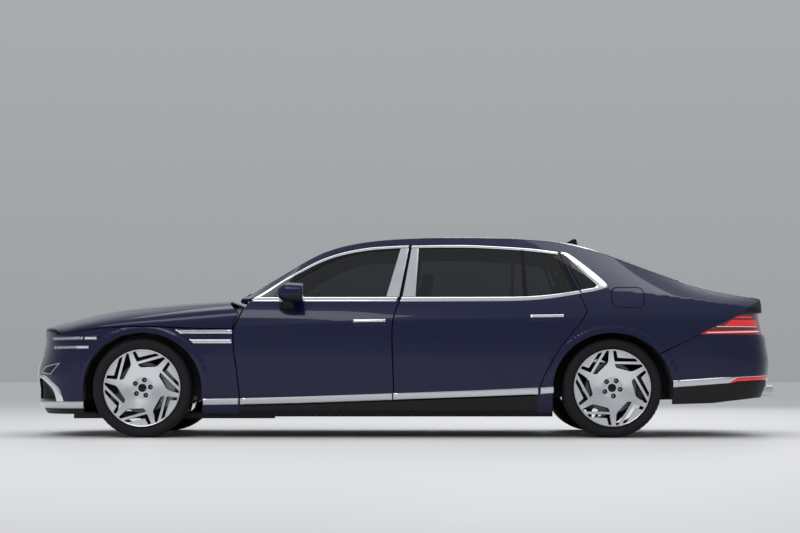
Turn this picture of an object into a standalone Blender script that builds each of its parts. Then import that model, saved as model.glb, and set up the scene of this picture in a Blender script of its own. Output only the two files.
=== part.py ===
"""Luxury sedan: body shell, doors, lids, wheels, steering and cabin."""

import math

import bmesh
import bpy
import numpy as np
from mathutils import Matrix, Vector

# Driving dimensions, in metres
FRONT_OVERHANG = 0.870
WHEELBASE = 3.370
REAR_OVERHANG = 1.225
WIDTH = 1.930
HEIGHT = 1.488
TYRE_RADIUS = 0.356
TYRE_WIDTH_FRONT = 0.245
TYRE_WIDTH_REAR = 0.265
TYRE_FACE = WIDTH / 2 - 0.030
SIDEWALL = 0.075
RIM_RADIUS = TYRE_RADIUS - SIDEWALL
KINGPIN_INSET = 0.060
ARCH_CLEARANCE = 0.072
ARCH_LIFT = 0.040
ARCH_RADIUS = TYRE_RADIUS + ARCH_CLEARANCE
ARCH_TOP = TYRE_RADIUS * 2 + ARCH_LIFT

# Gaps and wall thicknesses
SEAT_GAP = 0.0004
SEAM_GAP = 0.0006
PANEL_GAP = 0.0050
DOOR_THICKNESS = 0.115
FRAME_THICKNESS = 0.045
SKIN_THICKNESS = 0.014
SIDE_THICKNESS = 0.045
ROOF_THICKNESS = 0.026
GLASS_THICKNESS = 0.005
GLASS_INSET = 0.005
FLANGE_THICKNESS = 0.008
HINGE_DEPTH = 0.028

LENGTH = FRONT_OVERHANG + WHEELBASE + REAR_OVERHANG
NOSE_X = -LENGTH / 2
FRONT_AXLE_X = NOSE_X + FRONT_OVERHANG
REAR_AXLE_X = FRONT_AXLE_X + WHEELBASE

# Stations and levels of the body drawing, which the driving dimensions stretch
DRAWN_X = (-2.7325, -1.8625, 1.5075, 2.7325)
DRAWN_Z = (0.0, 1.0, 1.488)
DRAWN_WIDTH = 1.930
BELT_LEVEL = 1.0


def clean_scene():
    for item in list(bpy.data.objects):
        bpy.data.objects.remove(item, do_unlink=True)


def placed(points):
    """Points of the body drawing moved to the driving dimensions."""
    points = np.asarray(points, float)
    stations = (NOSE_X, FRONT_AXLE_X, REAR_AXLE_X, -NOSE_X)
    result = points.copy()
    result[..., 0] = np.interp(points[..., 0], DRAWN_X, stations)
    result[..., 1] = points[..., 1] * WIDTH / DRAWN_WIDTH
    result[..., 2] = np.interp(points[..., 2], DRAWN_Z, (0.0, BELT_LEVEL, HEIGHT))
    return result


def smooth_curve(points):
    """Function through the points in smooth pieces that don't overshoot."""
    xs = np.array([p[0] for p in points], float)
    ys = np.array([p[1] for p in points], float)
    step = np.diff(xs)
    slope = np.diff(ys) / step
    tangent = np.zeros(len(xs))
    tangent[0] = slope[0]
    tangent[-1] = slope[-1]
    for i in range(1, len(xs) - 1):
        if slope[i - 1] * slope[i] > 0:
            tangent[i] = 2 * slope[i - 1] * slope[i] / (slope[i - 1] + slope[i])

    def value(x):
        x = np.asarray(x, float)
        i = np.clip(np.searchsorted(xs, x) - 1, 0, len(step) - 1)
        t = np.clip((x - xs[i]) / step[i], 0.0, 1.0)
        rise = ys[i + 1] * (3 * t ** 2 - 2 * t ** 3) + ys[i] * (1 - 3 * t ** 2 + 2 * t ** 3)
        bend = tangent[i] * (t - 2 * t ** 2 + t ** 3) + tangent[i + 1] * (t ** 3 - t ** 2)
        return rise + bend * step[i]

    return value


# Body surface: plan and section of the side, top centre line and cant line
half_plan = smooth_curve([
    (-2.40, 0.850), (-2.285, 0.893), (-2.10, 0.926), (-1.86, 0.944), (-1.50, 0.948),
    (0.0, 0.948), (1.00, 0.955), (1.50, 0.965), (1.95, 0.957), (2.20, 0.932),
    (2.40, 0.890), (2.52, 0.845), (2.61, 0.780), (2.70, 0.560)])
side_drop = smooth_curve([
    (0.15, 0.090), (0.20, 0.066), (0.26, 0.045), (0.32, 0.028), (0.45, 0.012),
    (0.60, 0.002), (0.70, 0.000), (0.80, 0.002), (0.85, 0.006), (0.90, 0.020),
    (0.95, 0.041), (0.985, 0.062), (1.01, 0.078), (1.07, 0.118)])
shoulder_level = smooth_curve([
    (-1.30, 1.000), (0.90, 1.000), (1.28, 1.045), (1.50, 1.055), (1.90, 1.020),
    (2.30, 0.965), (2.66, 0.920)])
cant_level = smooth_curve([
    (-1.24, 0.972), (-1.135, 1.009), (-0.969, 1.113), (-0.825, 1.200), (-0.701, 1.278),
    (-0.556, 1.350), (-0.402, 1.396), (-0.247, 1.424), (-0.041, 1.443), (0.30, 1.455),
    (0.70, 1.452), (1.00, 1.438), (1.20, 1.412), (1.40, 1.362), (1.60, 1.292),
    (1.80, 1.215), (2.00, 1.140), (2.12, 1.098), (2.30, 1.052), (2.50, 1.015),
    (2.69, 0.985)])
cant_half = smooth_curve([
    (-1.24, 0.745), (-1.135, 0.725), (-0.825, 0.668), (-0.556, 0.630), (-0.247, 0.605),
    (0.0, 0.598), (0.70, 0.592), (1.20, 0.588), (1.40, 0.592), (1.80, 0.618),
    (2.10, 0.655), (2.30, 0.680), (2.50, 0.690), (2.69, 0.660)])
centre_level = smooth_curve([
    (-1.26, 0.985), (-1.22, 0.998), (-0.90, 1.178), (-0.60, 1.340), (-0.42, 1.424),
    (-0.25, 1.456), (-0.017, 1.477), (0.218, 1.486), (0.40, 1.488), (0.687, 1.484),
    (0.98, 1.470), (1.215, 1.450), (1.391, 1.415), (1.508, 1.372), (1.685, 1.311),
    (1.823, 1.258), (2.035, 1.174), (2.200, 1.116), (2.390, 1.066), (2.556, 1.034),
    (2.69, 1.006)])


def half_width(x, z):
    """Half width of the side at station x and level z."""
    shoulder = shoulder_level(x)
    cant = cant_level(x)
    at_shoulder = half_plan(x) - side_drop(shoulder)
    climb = np.clip((z - shoulder) / np.maximum(cant - shoulder, 0.02), 0.0, 1.0)
    below = half_plan(x) - side_drop(np.minimum(z, shoulder))
    above = at_shoulder + (cant_half(x) - at_shoulder) * climb + 0.048 * climb * (1 - climb)
    return np.where(z > shoulder, above, below)


def top_point(x, across, drop=0.0):
    """Point of the roof line at station x, across running from -1 to 1."""
    side = cant_half(x)
    level = cant_level(x) + (centre_level(x) - cant_level(x)) * (1 - np.abs(across) ** 2.4)
    return np.stack(np.broadcast_arrays(x, side * across, level - drop), axis=-1)


# Plan of the nose and the tail as half outlines from the centre to the arch
NOSE_PLAN = [(-2.7325, 0.0), (-2.7300, 0.16), (-2.7200, 0.30), (-2.6960, 0.43),
             (-2.650, 0.565), (-2.590, 0.680), (-2.510, 0.775), (-2.410, 0.845),
             (-2.285, 0.893), (-2.100, 0.926), (-1.860, 0.944)]
TAIL_PLAN = [(2.7325, 0.0), (2.7260, 0.28), (2.7000, 0.53), (2.6600, 0.68),
             (2.6000, 0.785), (2.5200, 0.845), (2.400, 0.890), (2.200, 0.932),
             (1.950, 0.957), (1.850, 0.960)]
nose_back = smooth_curve([
    (0.16, 0.075), (0.20, 0.045), (0.25, 0.016), (0.33, 0.020), (0.45, 0.000),
    (0.52, 0.010), (0.60, 0.040), (0.70, 0.060), (0.79, 0.050)])
tail_back = smooth_curve([
    (0.24, 0.110), (0.30, 0.060), (0.40, 0.018), (0.47, 0.003), (0.55, 0.000),
    (0.63, 0.014), (0.72, 0.030), (0.77, 0.060), (0.90, 0.085), (1.00, 0.070)])


def along_plan(plan):
    """Functions for x and y of a plan outline, by the distance from its centre."""
    plan = np.array(plan)
    reach = np.concatenate([[0.0], np.cumsum(np.hypot(*np.diff(plan, axis=0).T))])
    return smooth_curve(list(zip(reach, plan[:, 0]))), smooth_curve(list(zip(reach, plan[:, 1]))), reach


nose_x, nose_y, NOSE_REACH = along_plan(NOSE_PLAN)
tail_x, tail_y, TAIL_REACH = along_plan(TAIL_PLAN)


def end_point(reach, z, rear=False, inward=0.0):
    """Point of the nose or tail at a distance along its plan and a level."""
    if rear:
        x, y, back, full, sign = tail_x(reach), tail_y(reach), tail_back(z), 1.25, -1
    else:
        x, y, back, full, sign = nose_x(reach), nose_y(reach), nose_back(z), 1.05, 1
    turn = np.clip(reach / full, 0.0, 1.0) ** 2
    ahead = (1 - turn) * (back + inward)
    aside = side_drop(z) * turn + inward * turn
    return np.stack(np.broadcast_arrays(x + sign * ahead, -(y - aside), z), axis=-1)


# Mesh builders
def material(name, colour, metallic, roughness):
    made = bpy.data.materials.get(name)
    if made is None:
        made = bpy.data.materials.new(name)
        made.use_nodes = True
        shader = made.node_tree.nodes["Principled BSDF"]
        shader.inputs["Base Color"].default_value = (*colour, 1.0)
        shader.inputs["Metallic"].default_value = metallic
        shader.inputs["Roughness"].default_value = roughness
    return made


FINISHES = {
    "paint": ((0.010, 0.014, 0.055), 0.6, 0.25),
    "glass": ((0.03, 0.035, 0.04), 0.0, 0.05),
    "tyre": ((0.012, 0.012, 0.012), 0.0, 0.85),
    "alloy": ((0.62, 0.63, 0.65), 1.0, 0.28),
    "chrome": ((0.80, 0.80, 0.82), 1.0, 0.12),
    "trim": ((0.015, 0.015, 0.016), 0.0, 0.45),
    "steel": ((0.30, 0.30, 0.31), 1.0, 0.45),
    "lamp": ((0.65, 0.68, 0.72), 0.1, 0.08),
    "red_lamp": ((0.45, 0.01, 0.015), 0.1, 0.08),
    "leather": ((0.10, 0.085, 0.075), 0.0, 0.55),
}


def make_object(name, verts, faces, finish, smooth=True):
    """Closed mesh object whose faces are turned outwards."""
    mesh = bpy.data.meshes.new(name)
    mesh.from_pydata([tuple(float(c) for c in v) for v in verts], [], faces)
    work = bmesh.new()
    work.from_mesh(mesh)
    bmesh.ops.remove_doubles(work, verts=work.verts, dist=1e-6)
    bmesh.ops.triangulate(work, faces=[f for f in work.faces if len(f.verts) > 3])
    if work.calc_volume(signed=True) < 0:
        bmesh.ops.reverse_faces(work, faces=work.faces)
    work.to_mesh(mesh)
    work.free()
    mesh.materials.append(material(finish, *FINISHES[finish]))
    made = bpy.data.objects.new(name, mesh)
    bpy.context.scene.collection.objects.link(made)
    if smooth:
        mesh.shade_smooth()
        mesh.set_sharp_from_angle(angle=math.radians(32))
    return made


def slab(outer, inner, keep=None, wrap=False, cap=False):
    """Vertices and faces between two grids, with a wall round every kept area."""
    rows, columns = outer.shape[:2]
    if keep is None:
        keep = np.ones((rows - 1, columns if wrap else columns - 1), bool)
    count = rows * columns
    verts = np.concatenate([outer.reshape(-1, 3), inner.reshape(-1, 3)])

    def corner(i, j):
        return i * columns + j % columns

    faces = []
    for i, j in np.argwhere(keep):
        a, b, c, d = corner(i, j), corner(i + 1, j), corner(i + 1, j + 1), corner(i, j + 1)
        faces += [(a, b, c, d), (d + count, c + count, b + count, a + count)]
        sides = (((i, j - 1), (a, b)), ((i + 1, j), (b, c)), ((i, j + 1), (c, d)), ((i - 1, j), (d, a)))
        for (k, m), (p, q) in sides:
            if wrap:
                m %= columns
            inside = 0 <= k < keep.shape[0] and 0 <= m < keep.shape[1]
            if inside and keep[k, m]:
                continue
            if cap and k < 0:
                continue
            faces.append((q, p, p + count, q + count))
    if cap:
        faces.append(tuple(range(columns)))
        faces.append(tuple(reversed(range(count, count + columns))))
    used = sorted({v for f in faces for v in f})
    number = {v: k for k, v in enumerate(used)}
    return verts[used], [tuple(number[v] for v in f) for f in faces]


def slab_object(name, outer, inner, finish, **options):
    verts, faces = slab(outer, inner, **options)
    return make_object(name, verts, faces, finish)


def loft(rings):
    """Vertices and faces of a closed skin through rings of points, with flat ends."""
    rings = np.array(rings, float)
    count, around = rings.shape[:2]
    faces = [tuple(range(around)), tuple(reversed(range((count - 1) * around, count * around)))]
    for k in range(count - 1):
        for j in range(around):
            n = (j + 1) % around
            faces.append((k * around + j, (k + 1) * around + j, (k + 1) * around + n, k * around + n))
    return rings.reshape(-1, 3), faces


def loft_object(name, rings, finish):
    verts, faces = loft(rings)
    return make_object(name, verts, faces, finish)


def bar_points(outline, low, high, axis="y"):
    """Two rings for an outline pushed from low to high along an axis."""
    rings = []
    for reach in (low, high):
        if axis == "y":
            rings.append([(x, reach, z) for x, z in outline])
        elif axis == "x":
            rings.append([(reach, y, z) for y, z in outline])
        else:
            rings.append([(x, y, reach) for x, y in outline])
    return rings


def prism(name, outline, low, high, finish="trim", axis="y"):
    return loft_object(name, bar_points(outline, low, high, axis), finish)


def turned(profile, centre, segments=32):
    """Ring turned about the Y axis through centre; profile gives radius and y."""
    angles = np.arange(segments) * 2 * math.pi / segments
    points = np.array([[(centre[0] + r * math.cos(a), centre[1] + y, centre[2] + r * math.sin(a))
                        for r, y in profile] for a in angles])
    count = len(profile)
    faces = []
    for k in range(segments):
        n = (k + 1) % segments
        for j in range(count):
            m = (j + 1) % count
            faces.append((k * count + j, n * count + j, n * count + m, k * count + m))
    return points.reshape(-1, 3), faces


def combine(target, other, operation):
    """Join or cut one solid with another, and take the other away."""
    change = target.modifiers.new(operation.lower(), "BOOLEAN")
    change.operation = operation
    change.solver = "EXACT"
    change.object = other
    bpy.context.view_layer.update()
    shape = bpy.data.meshes.new_from_object(target.evaluated_get(bpy.context.evaluated_depsgraph_get()))
    target.modifiers.clear()
    target.data = shape
    bpy.data.objects.remove(other, do_unlink=True)
    return target


def unite(target, *others):
    for other in others:
        combine(target, other, "UNION")
    return target


def cut(target, *others):
    for other in others:
        combine(target, other, "DIFFERENCE")
    return target


def mirrored(source, name):
    """Copy of an object on the other side of the car."""
    mesh = source.data.copy()
    mesh.transform(Matrix.Scale(-1, 4, Vector((0, 1, 0))))
    mesh.flip_normals()
    twin = bpy.data.objects.new(name, mesh)
    twin.location = (source.location[0], -source.location[1], source.location[2])
    bpy.context.scene.collection.objects.link(twin)
    return twin


def set_origin(item, point):
    """Put an object's origin on a point, with its mesh where it was."""
    item.data.transform(Matrix.Translation(-Vector(point)))
    item.location = point
    return item


def inset(sides):
    """Closed outline moved inwards, each side by its own distance.

    Sides run anticlockwise and share their end points."""
    corners = []
    moves = []
    for points, distance in sides:
        for point in points[:-1]:
            corners.append(np.array(point, float))
            moves.append(distance)
    count = len(corners)
    result = []
    for i in range(count):
        before = corners[i] - corners[i - 1]
        after = corners[(i + 1) % count] - corners[i]
        n1 = np.array([-before[1], before[0]]) / np.linalg.norm(before)
        n2 = np.array([-after[1], after[0]]) / np.linalg.norm(after)
        d1, d2 = moves[i - 1], moves[i]
        turn = n1[0] * n2[1] - n1[1] * n2[0]
        if abs(turn) < 0.05:
            result.append(corners[i] + (n1 + n2) / 2 * (d1 + d2) / 2)
        else:
            shift = np.linalg.solve(np.array([n1, n2]), np.array([d1, d2]))
            result.append(corners[i] + shift)
    return [tuple(p) for p in result]


def side_panel(name, outline, stations, levels, thickness, finish, holes=(), depth=0.0):
    """Panel of the left side: the side surface cut to an outline in x and z.

    thickness is a function of x and z; holes are outlines cut through."""
    x, z = np.meshgrid(stations, levels, indexing="ij")
    width = half_width(x, z) - depth
    outer = placed(np.stack([x, -width, z], axis=-1))
    inner = outer.copy()
    inner[..., 1] += thickness(x, z)
    panel = slab_object(name, outer, inner, finish)
    combine(panel, side_cutter(outline), "INTERSECT")
    for hole in holes:
        cut(panel, side_cutter(hole))
    return panel


def side_solid(stations, levels, depth, thickness):
    """The side surface as a thick block, to cut what stands on it."""
    x, z = np.meshgrid(stations, levels, indexing="ij")
    outer = placed(np.stack([x, depth - half_width(x, z), z], axis=-1))
    inner = outer.copy()
    inner[..., 1] += thickness
    return slab_object("cutter", outer, inner, "trim")


def side_cutter(outline):
    flat = placed([(x, 0.0, z) for x, z in outline])
    return prism("cutter", [(p[0], p[2]) for p in flat], -1.4, -0.2)


# Lines where the side panels meet, as x and z of the body drawing
FENDER_LINE = [(-1.160, 0.232), (-1.183, 0.465), (-1.200, 0.579), (-1.210, 0.675), (-1.208, 0.771),
               (-1.188, 0.819), (-1.155, 0.888), (-1.125, 0.945), (-1.095, 0.982)]
DOOR_TOP = [(-1.095, 0.982), (-0.861, 1.140), (-0.759, 1.202), (-0.605, 1.284), (-0.451, 1.340),
            (-0.245, 1.381), (-0.010, 1.397), (0.068, 1.398), (0.434, 1.4025), (0.658, 1.394),
            (0.949, 1.375), (1.151, 1.350)]
MID_LINE = [(-0.072, 0.268), (-0.036, 1.012), (0.068, 1.398)]
REAR_LINE = [(0.976, 0.312), (1.017, 0.427), (1.070, 0.532), (1.134, 0.637), (1.217, 0.742),
             (1.291, 0.832), (1.333, 0.905), (1.278, 1.047), (1.151, 1.350)]
FRONT_GLASS = [(-0.960, 1.012), (-0.112, 1.012), (-0.012, 1.366), (-0.245, 1.352), (-0.400, 1.321),
               (-0.553, 1.259), (-0.718, 1.167), (-0.930, 1.032)]
REAR_GLASS = [(0.098, 1.012), (0.880, 1.012), (1.243, 1.046), (1.130, 1.318), (1.085, 1.332),
              (0.908, 1.355), (0.658, 1.371), (0.434, 1.378), (0.124, 1.374)]
QUARTER_GLASS = [(1.312, 1.060), (1.440, 1.085), (1.420, 1.110), (1.290, 1.240), (1.218, 1.300)]
FUEL_FLAP = (1.508, 1.745, 0.930, 1.081)
FUEL_CORNER = 0.045
TAIL_X = 2.616
BUMPER_TOP = 0.7365
LAMP_TOP = [(2.135, 0.7475), (2.450, 0.885), (2.600, 0.897), (2.660, 0.897)]
LINER_SETBACK = 0.052
LINER_WALL = (0.480, 0.640)
PILLAR_SETBACK = 0.022
FRONT_HINGE_X = -1.095
REAR_HINGE_X = 0.045
HINGE_Y = -(0.948 - HINGE_DEPTH)
HINGE_LEVELS = (0.56, 0.80)
KNUCKLE_RADIUS = 0.011
KNUCKLE_HEIGHT = 0.060


def arch_outline(axle, radius, start, stop, count=14):
    """Arch opening as points from the front foot over the top to the rear foot."""
    rise = (ARCH_TOP - TYRE_RADIUS) / radius
    turns = np.radians(np.linspace(start, stop, count))
    return [(axle + radius * math.cos(a), TYRE_RADIUS + radius * rise * math.sin(a)) for a in turns]


def glass_pane(name, outline, stations, levels, finish="glass"):
    edge = inset([(outline + [outline[0]], SEAT_GAP)])
    return side_panel(name, edge, stations, levels, lambda x, z: GLASS_THICKNESS, finish, depth=GLASS_INSET)


def door_thickness(x, z):
    climb = np.clip((z - 0.96) / 0.05, 0.0, 1.0)
    return DOOR_THICKNESS + (FRAME_THICKNESS - DOOR_THICKNESS) * climb


def cylinder(name, radius, low, high, centre, finish="steel", sides=12, axis="z"):
    ring = [(centre[0] + radius * math.cos(a), centre[1] + radius * math.sin(a))
            for a in np.arange(sides) * 2 * math.pi / sides]
    return prism(name, ring, low, high, finish, axis)


def block(name, low, high, finish="trim", bevel=0.0):
    outline = [(low[0], low[2]), (high[0], low[2]), (high[0], high[2]), (low[0], high[2])]
    made = prism(name, outline, low[1], high[1], finish)
    if bevel:
        soften(made, bevel)
    return made


def soften(item, width, segments=1):
    change = item.modifiers.new("edges", "BEVEL")
    change.width = width
    change.segments = segments
    change.limit_method = "ANGLE"
    return item


DOOR_LEVELS = [0.20, 0.33, 0.50, 0.70, 0.85, 0.92, 0.96, 1.01, 1.20, 1.43]


def make_door(name, outline, stations, holes, hinge_x):
    panel = side_panel(name, outline, stations, DOOR_LEVELS, door_thickness, "paint", holes)
    # The skin alone runs on past the hinges to the shut line
    width = half_width(np.full(len(FLANGE_LEVELS), hinge_x), np.array(FLANGE_LEVELS))
    rings = []
    for z, w in zip(FLANGE_LEVELS, width):
        skin = -w + FLANGE_THICKNESS
        rings.append(placed([(hinge_x - 0.25, skin, z), (hinge_x + 0.020, skin, z),
                             (hinge_x + 0.032, skin + 0.3, z), (hinge_x - 0.25, skin + 0.3, z)]))
    cut(panel, loft_object("cutter", rings, "trim"))
    for level in HINGE_LEVELS:
        leaf = hinge_leaf(hinge_x, level)
        unite(panel, leaf)
    return set_origin(panel, placed((hinge_x, HINGE_Y, 0.6)))


FLANGE_LEVELS = [0.15, 0.22, 0.30, 0.45, 0.60, 0.70, 0.80, 0.90, 0.945, 0.96]


def hinge_leaf(hinge_x, level):
    """Upper knuckle and its leaf, on the door."""
    x, y, z = placed((hinge_x, HINGE_Y, level))
    top = z + KNUCKLE_HEIGHT / 2
    knuckle = cylinder("leaf", KNUCKLE_RADIUS, z + SEAT_GAP, top, (x, y), sides=8)
    leaf = block("leaf", (x, y - 0.003, z + SEAT_GAP * 2), (x + 0.05, y + 0.005, top - SEAT_GAP), "steel")
    return unite(knuckle, leaf)


def pillar_hinge(hinge_x, level, pillar_y):
    """Lower knuckle and its strap, on the pillar."""
    x, y, z = placed((hinge_x, HINGE_Y, level))
    low = z - KNUCKLE_HEIGHT / 2
    knuckle = cylinder("strap", KNUCKLE_RADIUS, low, z - SEAT_GAP, (x, y), sides=8)
    strap = block("strap", (x - 0.006, y, low + SEAT_GAP), (x + 0.006, pillar_y + 0.03, z - SEAT_GAP * 2), "steel")
    return unite(knuckle, strap)


def build_doors():
    front = inset([(list(reversed(FENDER_LINE)), PANEL_GAP * 1.6),
                   ([FENDER_LINE[0], (-0.6, 0.248), MID_LINE[0]], 0.0),
                   (MID_LINE, PANEL_GAP),
                   (list(reversed(DOOR_TOP[:8])), PANEL_GAP * 1.6)])
    made = make_door("door_front_left", front, np.linspace(-1.25, 0.11, 6), [FRONT_GLASS], FRONT_HINGE_X)
    rear = inset([(list(reversed(MID_LINE)), PANEL_GAP),
                  ([MID_LINE[0], (0.5, 0.290), REAR_LINE[0]], 0.0),
                  (REAR_LINE, PANEL_GAP * 1.6),
                  (list(reversed(DOOR_TOP[7:])), PANEL_GAP * 1.6)])
    made_rear = make_door("door_rear_left", rear, np.linspace(-0.10, 1.38, 6), [REAR_GLASS], REAR_HINGE_X)
    front_pane = glass_pane("door_glass_front_left", FRONT_GLASS, np.linspace(-1.25, 0.11, 4), GLASS_LEVELS)
    rear_pane = glass_pane("door_glass_rear_left", REAR_GLASS, np.linspace(-0.10, 1.38, 4), GLASS_LEVELS)
    mirror = build_mirror()
    for item in (made, made_rear):
        mirrored(item, item.name.replace("left", "right"))
    for item in (front_pane, rear_pane, mirror):
        mirrored(item, item.name.replace("left", "right"))


GLASS_LEVELS = [0.99, 1.10, 1.20, 1.30, 1.40]


def build_mirror():
    """Door mirror: a housing on a foot that stands on the door below the glass."""
    centre = Vector((-0.800, -1.000, 1.035))
    rings = []
    for step, half, tall in ((-0.098, 0.30, 0.30), (-0.075, 0.72, 0.70), (-0.02, 0.98, 0.95), (0.05, 1.0, 1.0),
                             (0.085, 0.96, 0.97), (0.098, 0.88, 0.90)):
        ring = []
        for a in np.arange(12) * 2 * math.pi / 12:
            ring.append((centre[0] + step, centre[1] + 0.105 * half * math.copysign(abs(math.cos(a)) ** 0.7, math.cos(a)),
                         centre[2] + 0.072 * tall * math.copysign(abs(math.sin(a)) ** 0.8, math.sin(a))))
        rings.append(placed(ring))
    housing = loft_object("mirror_left", rings, "paint")
    foot_rings = []
    for y, z, half, tall in ((-0.880, 0.905, 0.066, 0.034), (-0.945, 0.922, 0.050, 0.026), (-0.985, 0.985, 0.035, 0.02)):
        ring = []
        for a in np.arange(10) * 2 * math.pi / 10:
            ring.append((-0.815 + half * math.cos(a), y, z + tall * math.sin(a)))
        foot_rings.append(placed(ring))
    foot = loft_object("foot", foot_rings, "trim")
    unite(housing, foot)
    return cut(housing, side_solid(np.linspace(-1.25, 0.11, 6), DOOR_LEVELS, -SEAT_GAP, 0.3))


def build_side():
    """Cant strip, rear quarter panel, its glass and the fuel flap."""
    arch = arch_outline(1.5075, ARCH_RADIUS - 0.003, 180, 0)
    outline = inset([
        ([(-1.155, 0.990), (-1.113, 0.985)], 0.0),
        ([(-1.113, 0.985)] + DOOR_TOP[1:], 0.0),
        (list(reversed(REAR_LINE)), 0.0),
        ([REAR_LINE[0], (REAR_LINE[0][0], 0.178), (1.079, 0.178), arch[0]], 0.0),
        (arch, 0.0),
        ([arch[-1], (1.932, 0.700), (1.932, BUMPER_TOP + SEAM_GAP), (LAMP_TOP[0][0] - SEAM_GAP, BUMPER_TOP + SEAM_GAP)], 0.0),
        ([(LAMP_TOP[0][0] - SEAM_GAP, BUMPER_TOP + SEAM_GAP)] + [(x, z + SEAM_GAP) for x, z in LAMP_TOP[:3]]
         + [(TAIL_X, LAMP_TOP[2][1] + SEAM_GAP)], 0.0),
        ([(TAIL_X, LAMP_TOP[2][1] + SEAM_GAP), (TAIL_X, 1.2)], 0.0),
        ([(TAIL_X, 1.2), (1.2, 1.6), (-0.3, 1.6), (-1.155, 1.3), (-1.155, 0.990)], 0.0)])
    stations = [-1.16, -0.90, -0.60, -0.30, 0.20, 0.80, 1.15, 1.35, 1.60, 1.85, 2.10, 2.35, 2.50, 2.62]
    fractions = np.array([0.0, 0.12, 0.30, 0.48, 0.62, 0.72, 0.82, 0.91, 1.0])
    x, f = np.meshgrid(stations, fractions, indexing="ij")
    z = 0.17 + (cant_level(x) - 0.0005 - 0.17) * f
    width = half_width(x, z)
    outer = np.stack([x, -width, z], axis=-1)
    turn = np.clip((f - 0.82) / 0.18, 0, 1)
    inner = np.stack([x, -width + SIDE_THICKNESS * (1 - turn), z - SIDE_THICKNESS * turn], axis=-1)
    panel = slab_object("side_panel_left", placed(outer), placed(inner), "paint")
    combine(panel, side_cutter(outline), "INTERSECT")
    cut(panel, side_cutter(QUARTER_GLASS))
    x0, x1, z0, z1 = FUEL_FLAP
    pocket = rounded_outline((x0 + 0.02, x1 - 0.02, z0 + 0.02, z1 - 0.02), FUEL_CORNER - 0.02)
    cut(panel, side_cutter(pocket))
    recess = side_panel("cutter", rounded_outline(FUEL_FLAP, FUEL_CORNER), [1.45, 1.55, 1.65, 1.80],
                        [0.90, 0.95, 1.0, 1.05, 1.11], lambda x, z: 0.050, "trim", depth=-0.03)
    cut(panel, recess)
    quarter = glass_pane("quarter_glass_left", QUARTER_GLASS, [1.15, 1.25, 1.35, 1.50],
                         [1.03, 1.10, 1.17, 1.24, 1.32])
    shrunk = (x0 + 0.0055, x1 - 0.0055, z0 + 0.0055, z1 - 0.0055)
    flap = side_panel("fuel_flap", rounded_outline(shrunk, FUEL_CORNER - 0.0055), [1.45, 1.55, 1.65, 1.80],
                      [0.90, 0.95, 1.0, 1.05, 1.11], lambda x, z: 0.004, "paint")
    middle = (z0 + z1) / 2
    skin = placed((x0, -float(half_width(x0, middle)), middle))[1]
    set_origin(flap, (placed((x0, 0, 0))[0] + 0.0085, skin, middle))
    lug = prism("lug", [(skin, middle - 0.012), (skin + 0.025, middle - 0.012), (skin + 0.025, middle + 0.012),
                        (skin + 0.012, middle + 0.012)],
                placed((x0, 0, 0))[0] - 0.003, placed((x0, 0, 0))[0] + 0.0055 - SEAM_GAP, "paint", "x")
    unite(panel, lug)
    for item in (panel, quarter):
        mirrored(item, item.name.replace("left", "right"))


def rounded_outline(box, radius, steps=3):
    x0, x1, z0, z1 = box
    points = []
    for cx, cz, start in ((x1 - radius, z0 + radius, -90), (x1 - radius, z1 - radius, 0),
                          (x0 + radius, z1 - radius, 90), (x0 + radius, z0 + radius, 180)):
        for k in range(steps + 1):
            a = math.radians(start + 90 * k / steps)
            points.append((cx + radius * math.cos(a), cz + radius * math.sin(a)))
    return points


def top_panel(name, front, rear, count, thickness, finish, side=0.9978, across=9):
    """Panel on the roof line between two edges, each x as a function of across."""
    v = np.linspace(-side, side, across)
    u = np.linspace(0.0, 1.0, count)
    uu, vv = np.meshgrid(u, v, indexing="ij")
    x = front(vv) + (rear(vv) - front(vv)) * uu
    outer = top_point(x, vv)
    inner = top_point(x, vv, thickness)
    return slab_object(name, placed(outer), placed(inner), finish)


def windscreen_base(v):
    return -1.225 + 0.085 * v ** 2


def roof_front(v):
    return -0.420 - 0.060 * v ** 2


def roof_rear(v):
    return 1.370 + 0.0 * v


def lid_front(v):
    return 2.050 - 0.020 * v ** 2


FIN = [(1.190, 1.444), (1.352, 1.412), (1.338, 1.4865), (1.300, 1.4865)]


def build_roof():
    gap = SEAM_GAP
    top_panel("windscreen", windscreen_base, lambda v: roof_front(v) - gap, 5, 0.006, "glass", 0.985)
    roof = top_panel("roof", roof_front, roof_rear, 9, ROOF_THICKNESS, "paint")
    unite(roof, prism("fin", [tuple(placed((x, 0, z))[[0, 2]]) for x, z in FIN], -0.015, 0.015, "paint"))
    top_panel("rear_window", lambda v: roof_rear(v) + gap, lambda v: lid_front(v) - 0.012, 5, 0.006, "glass", 0.982)


HOOD_SIDE = smooth_curve([(-2.70, 0.740), (-2.48, 0.745), (-2.35, 0.766), (-2.15, 0.790), (-1.86, 0.800),
                          (-1.60, 0.792), (-1.35, 0.784), (-1.205, 0.784), (-1.15, 0.79)])
hood_centre = smooth_curve([(-2.70, 0.776), (-2.6806, 0.786), (-2.533, 0.843), (-2.316, 0.898), (-2.030, 0.948),
                            (-1.795, 0.968), (-1.519, 0.985), (-1.325, 0.994), (-1.20, 0.997)])
hood_full = smooth_curve([(-2.70, 1.9), (-2.3, 1.95), (-1.9, 2.5), (-1.5, 3.6), (-1.15, 4.6)])
hood_half = smooth_curve([(-2.70, 0.800), (-2.48, 0.806), (-2.35, 0.866), (-2.15, 0.917), (-1.86, 0.942),
                          (-1.50, 0.946), (-1.15, 0.946)])


HOOD_FRONT_HALF = 0.806


def hood_front_x(y):
    """Station of the hood's front edge at a distance from the centre."""
    reach = np.interp(y, nose_y(NOSE_REACH), NOSE_REACH)
    return nose_x(reach) + 0.052 * (1 - np.clip(reach / 1.05, 0, 1) ** 2)


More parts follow.
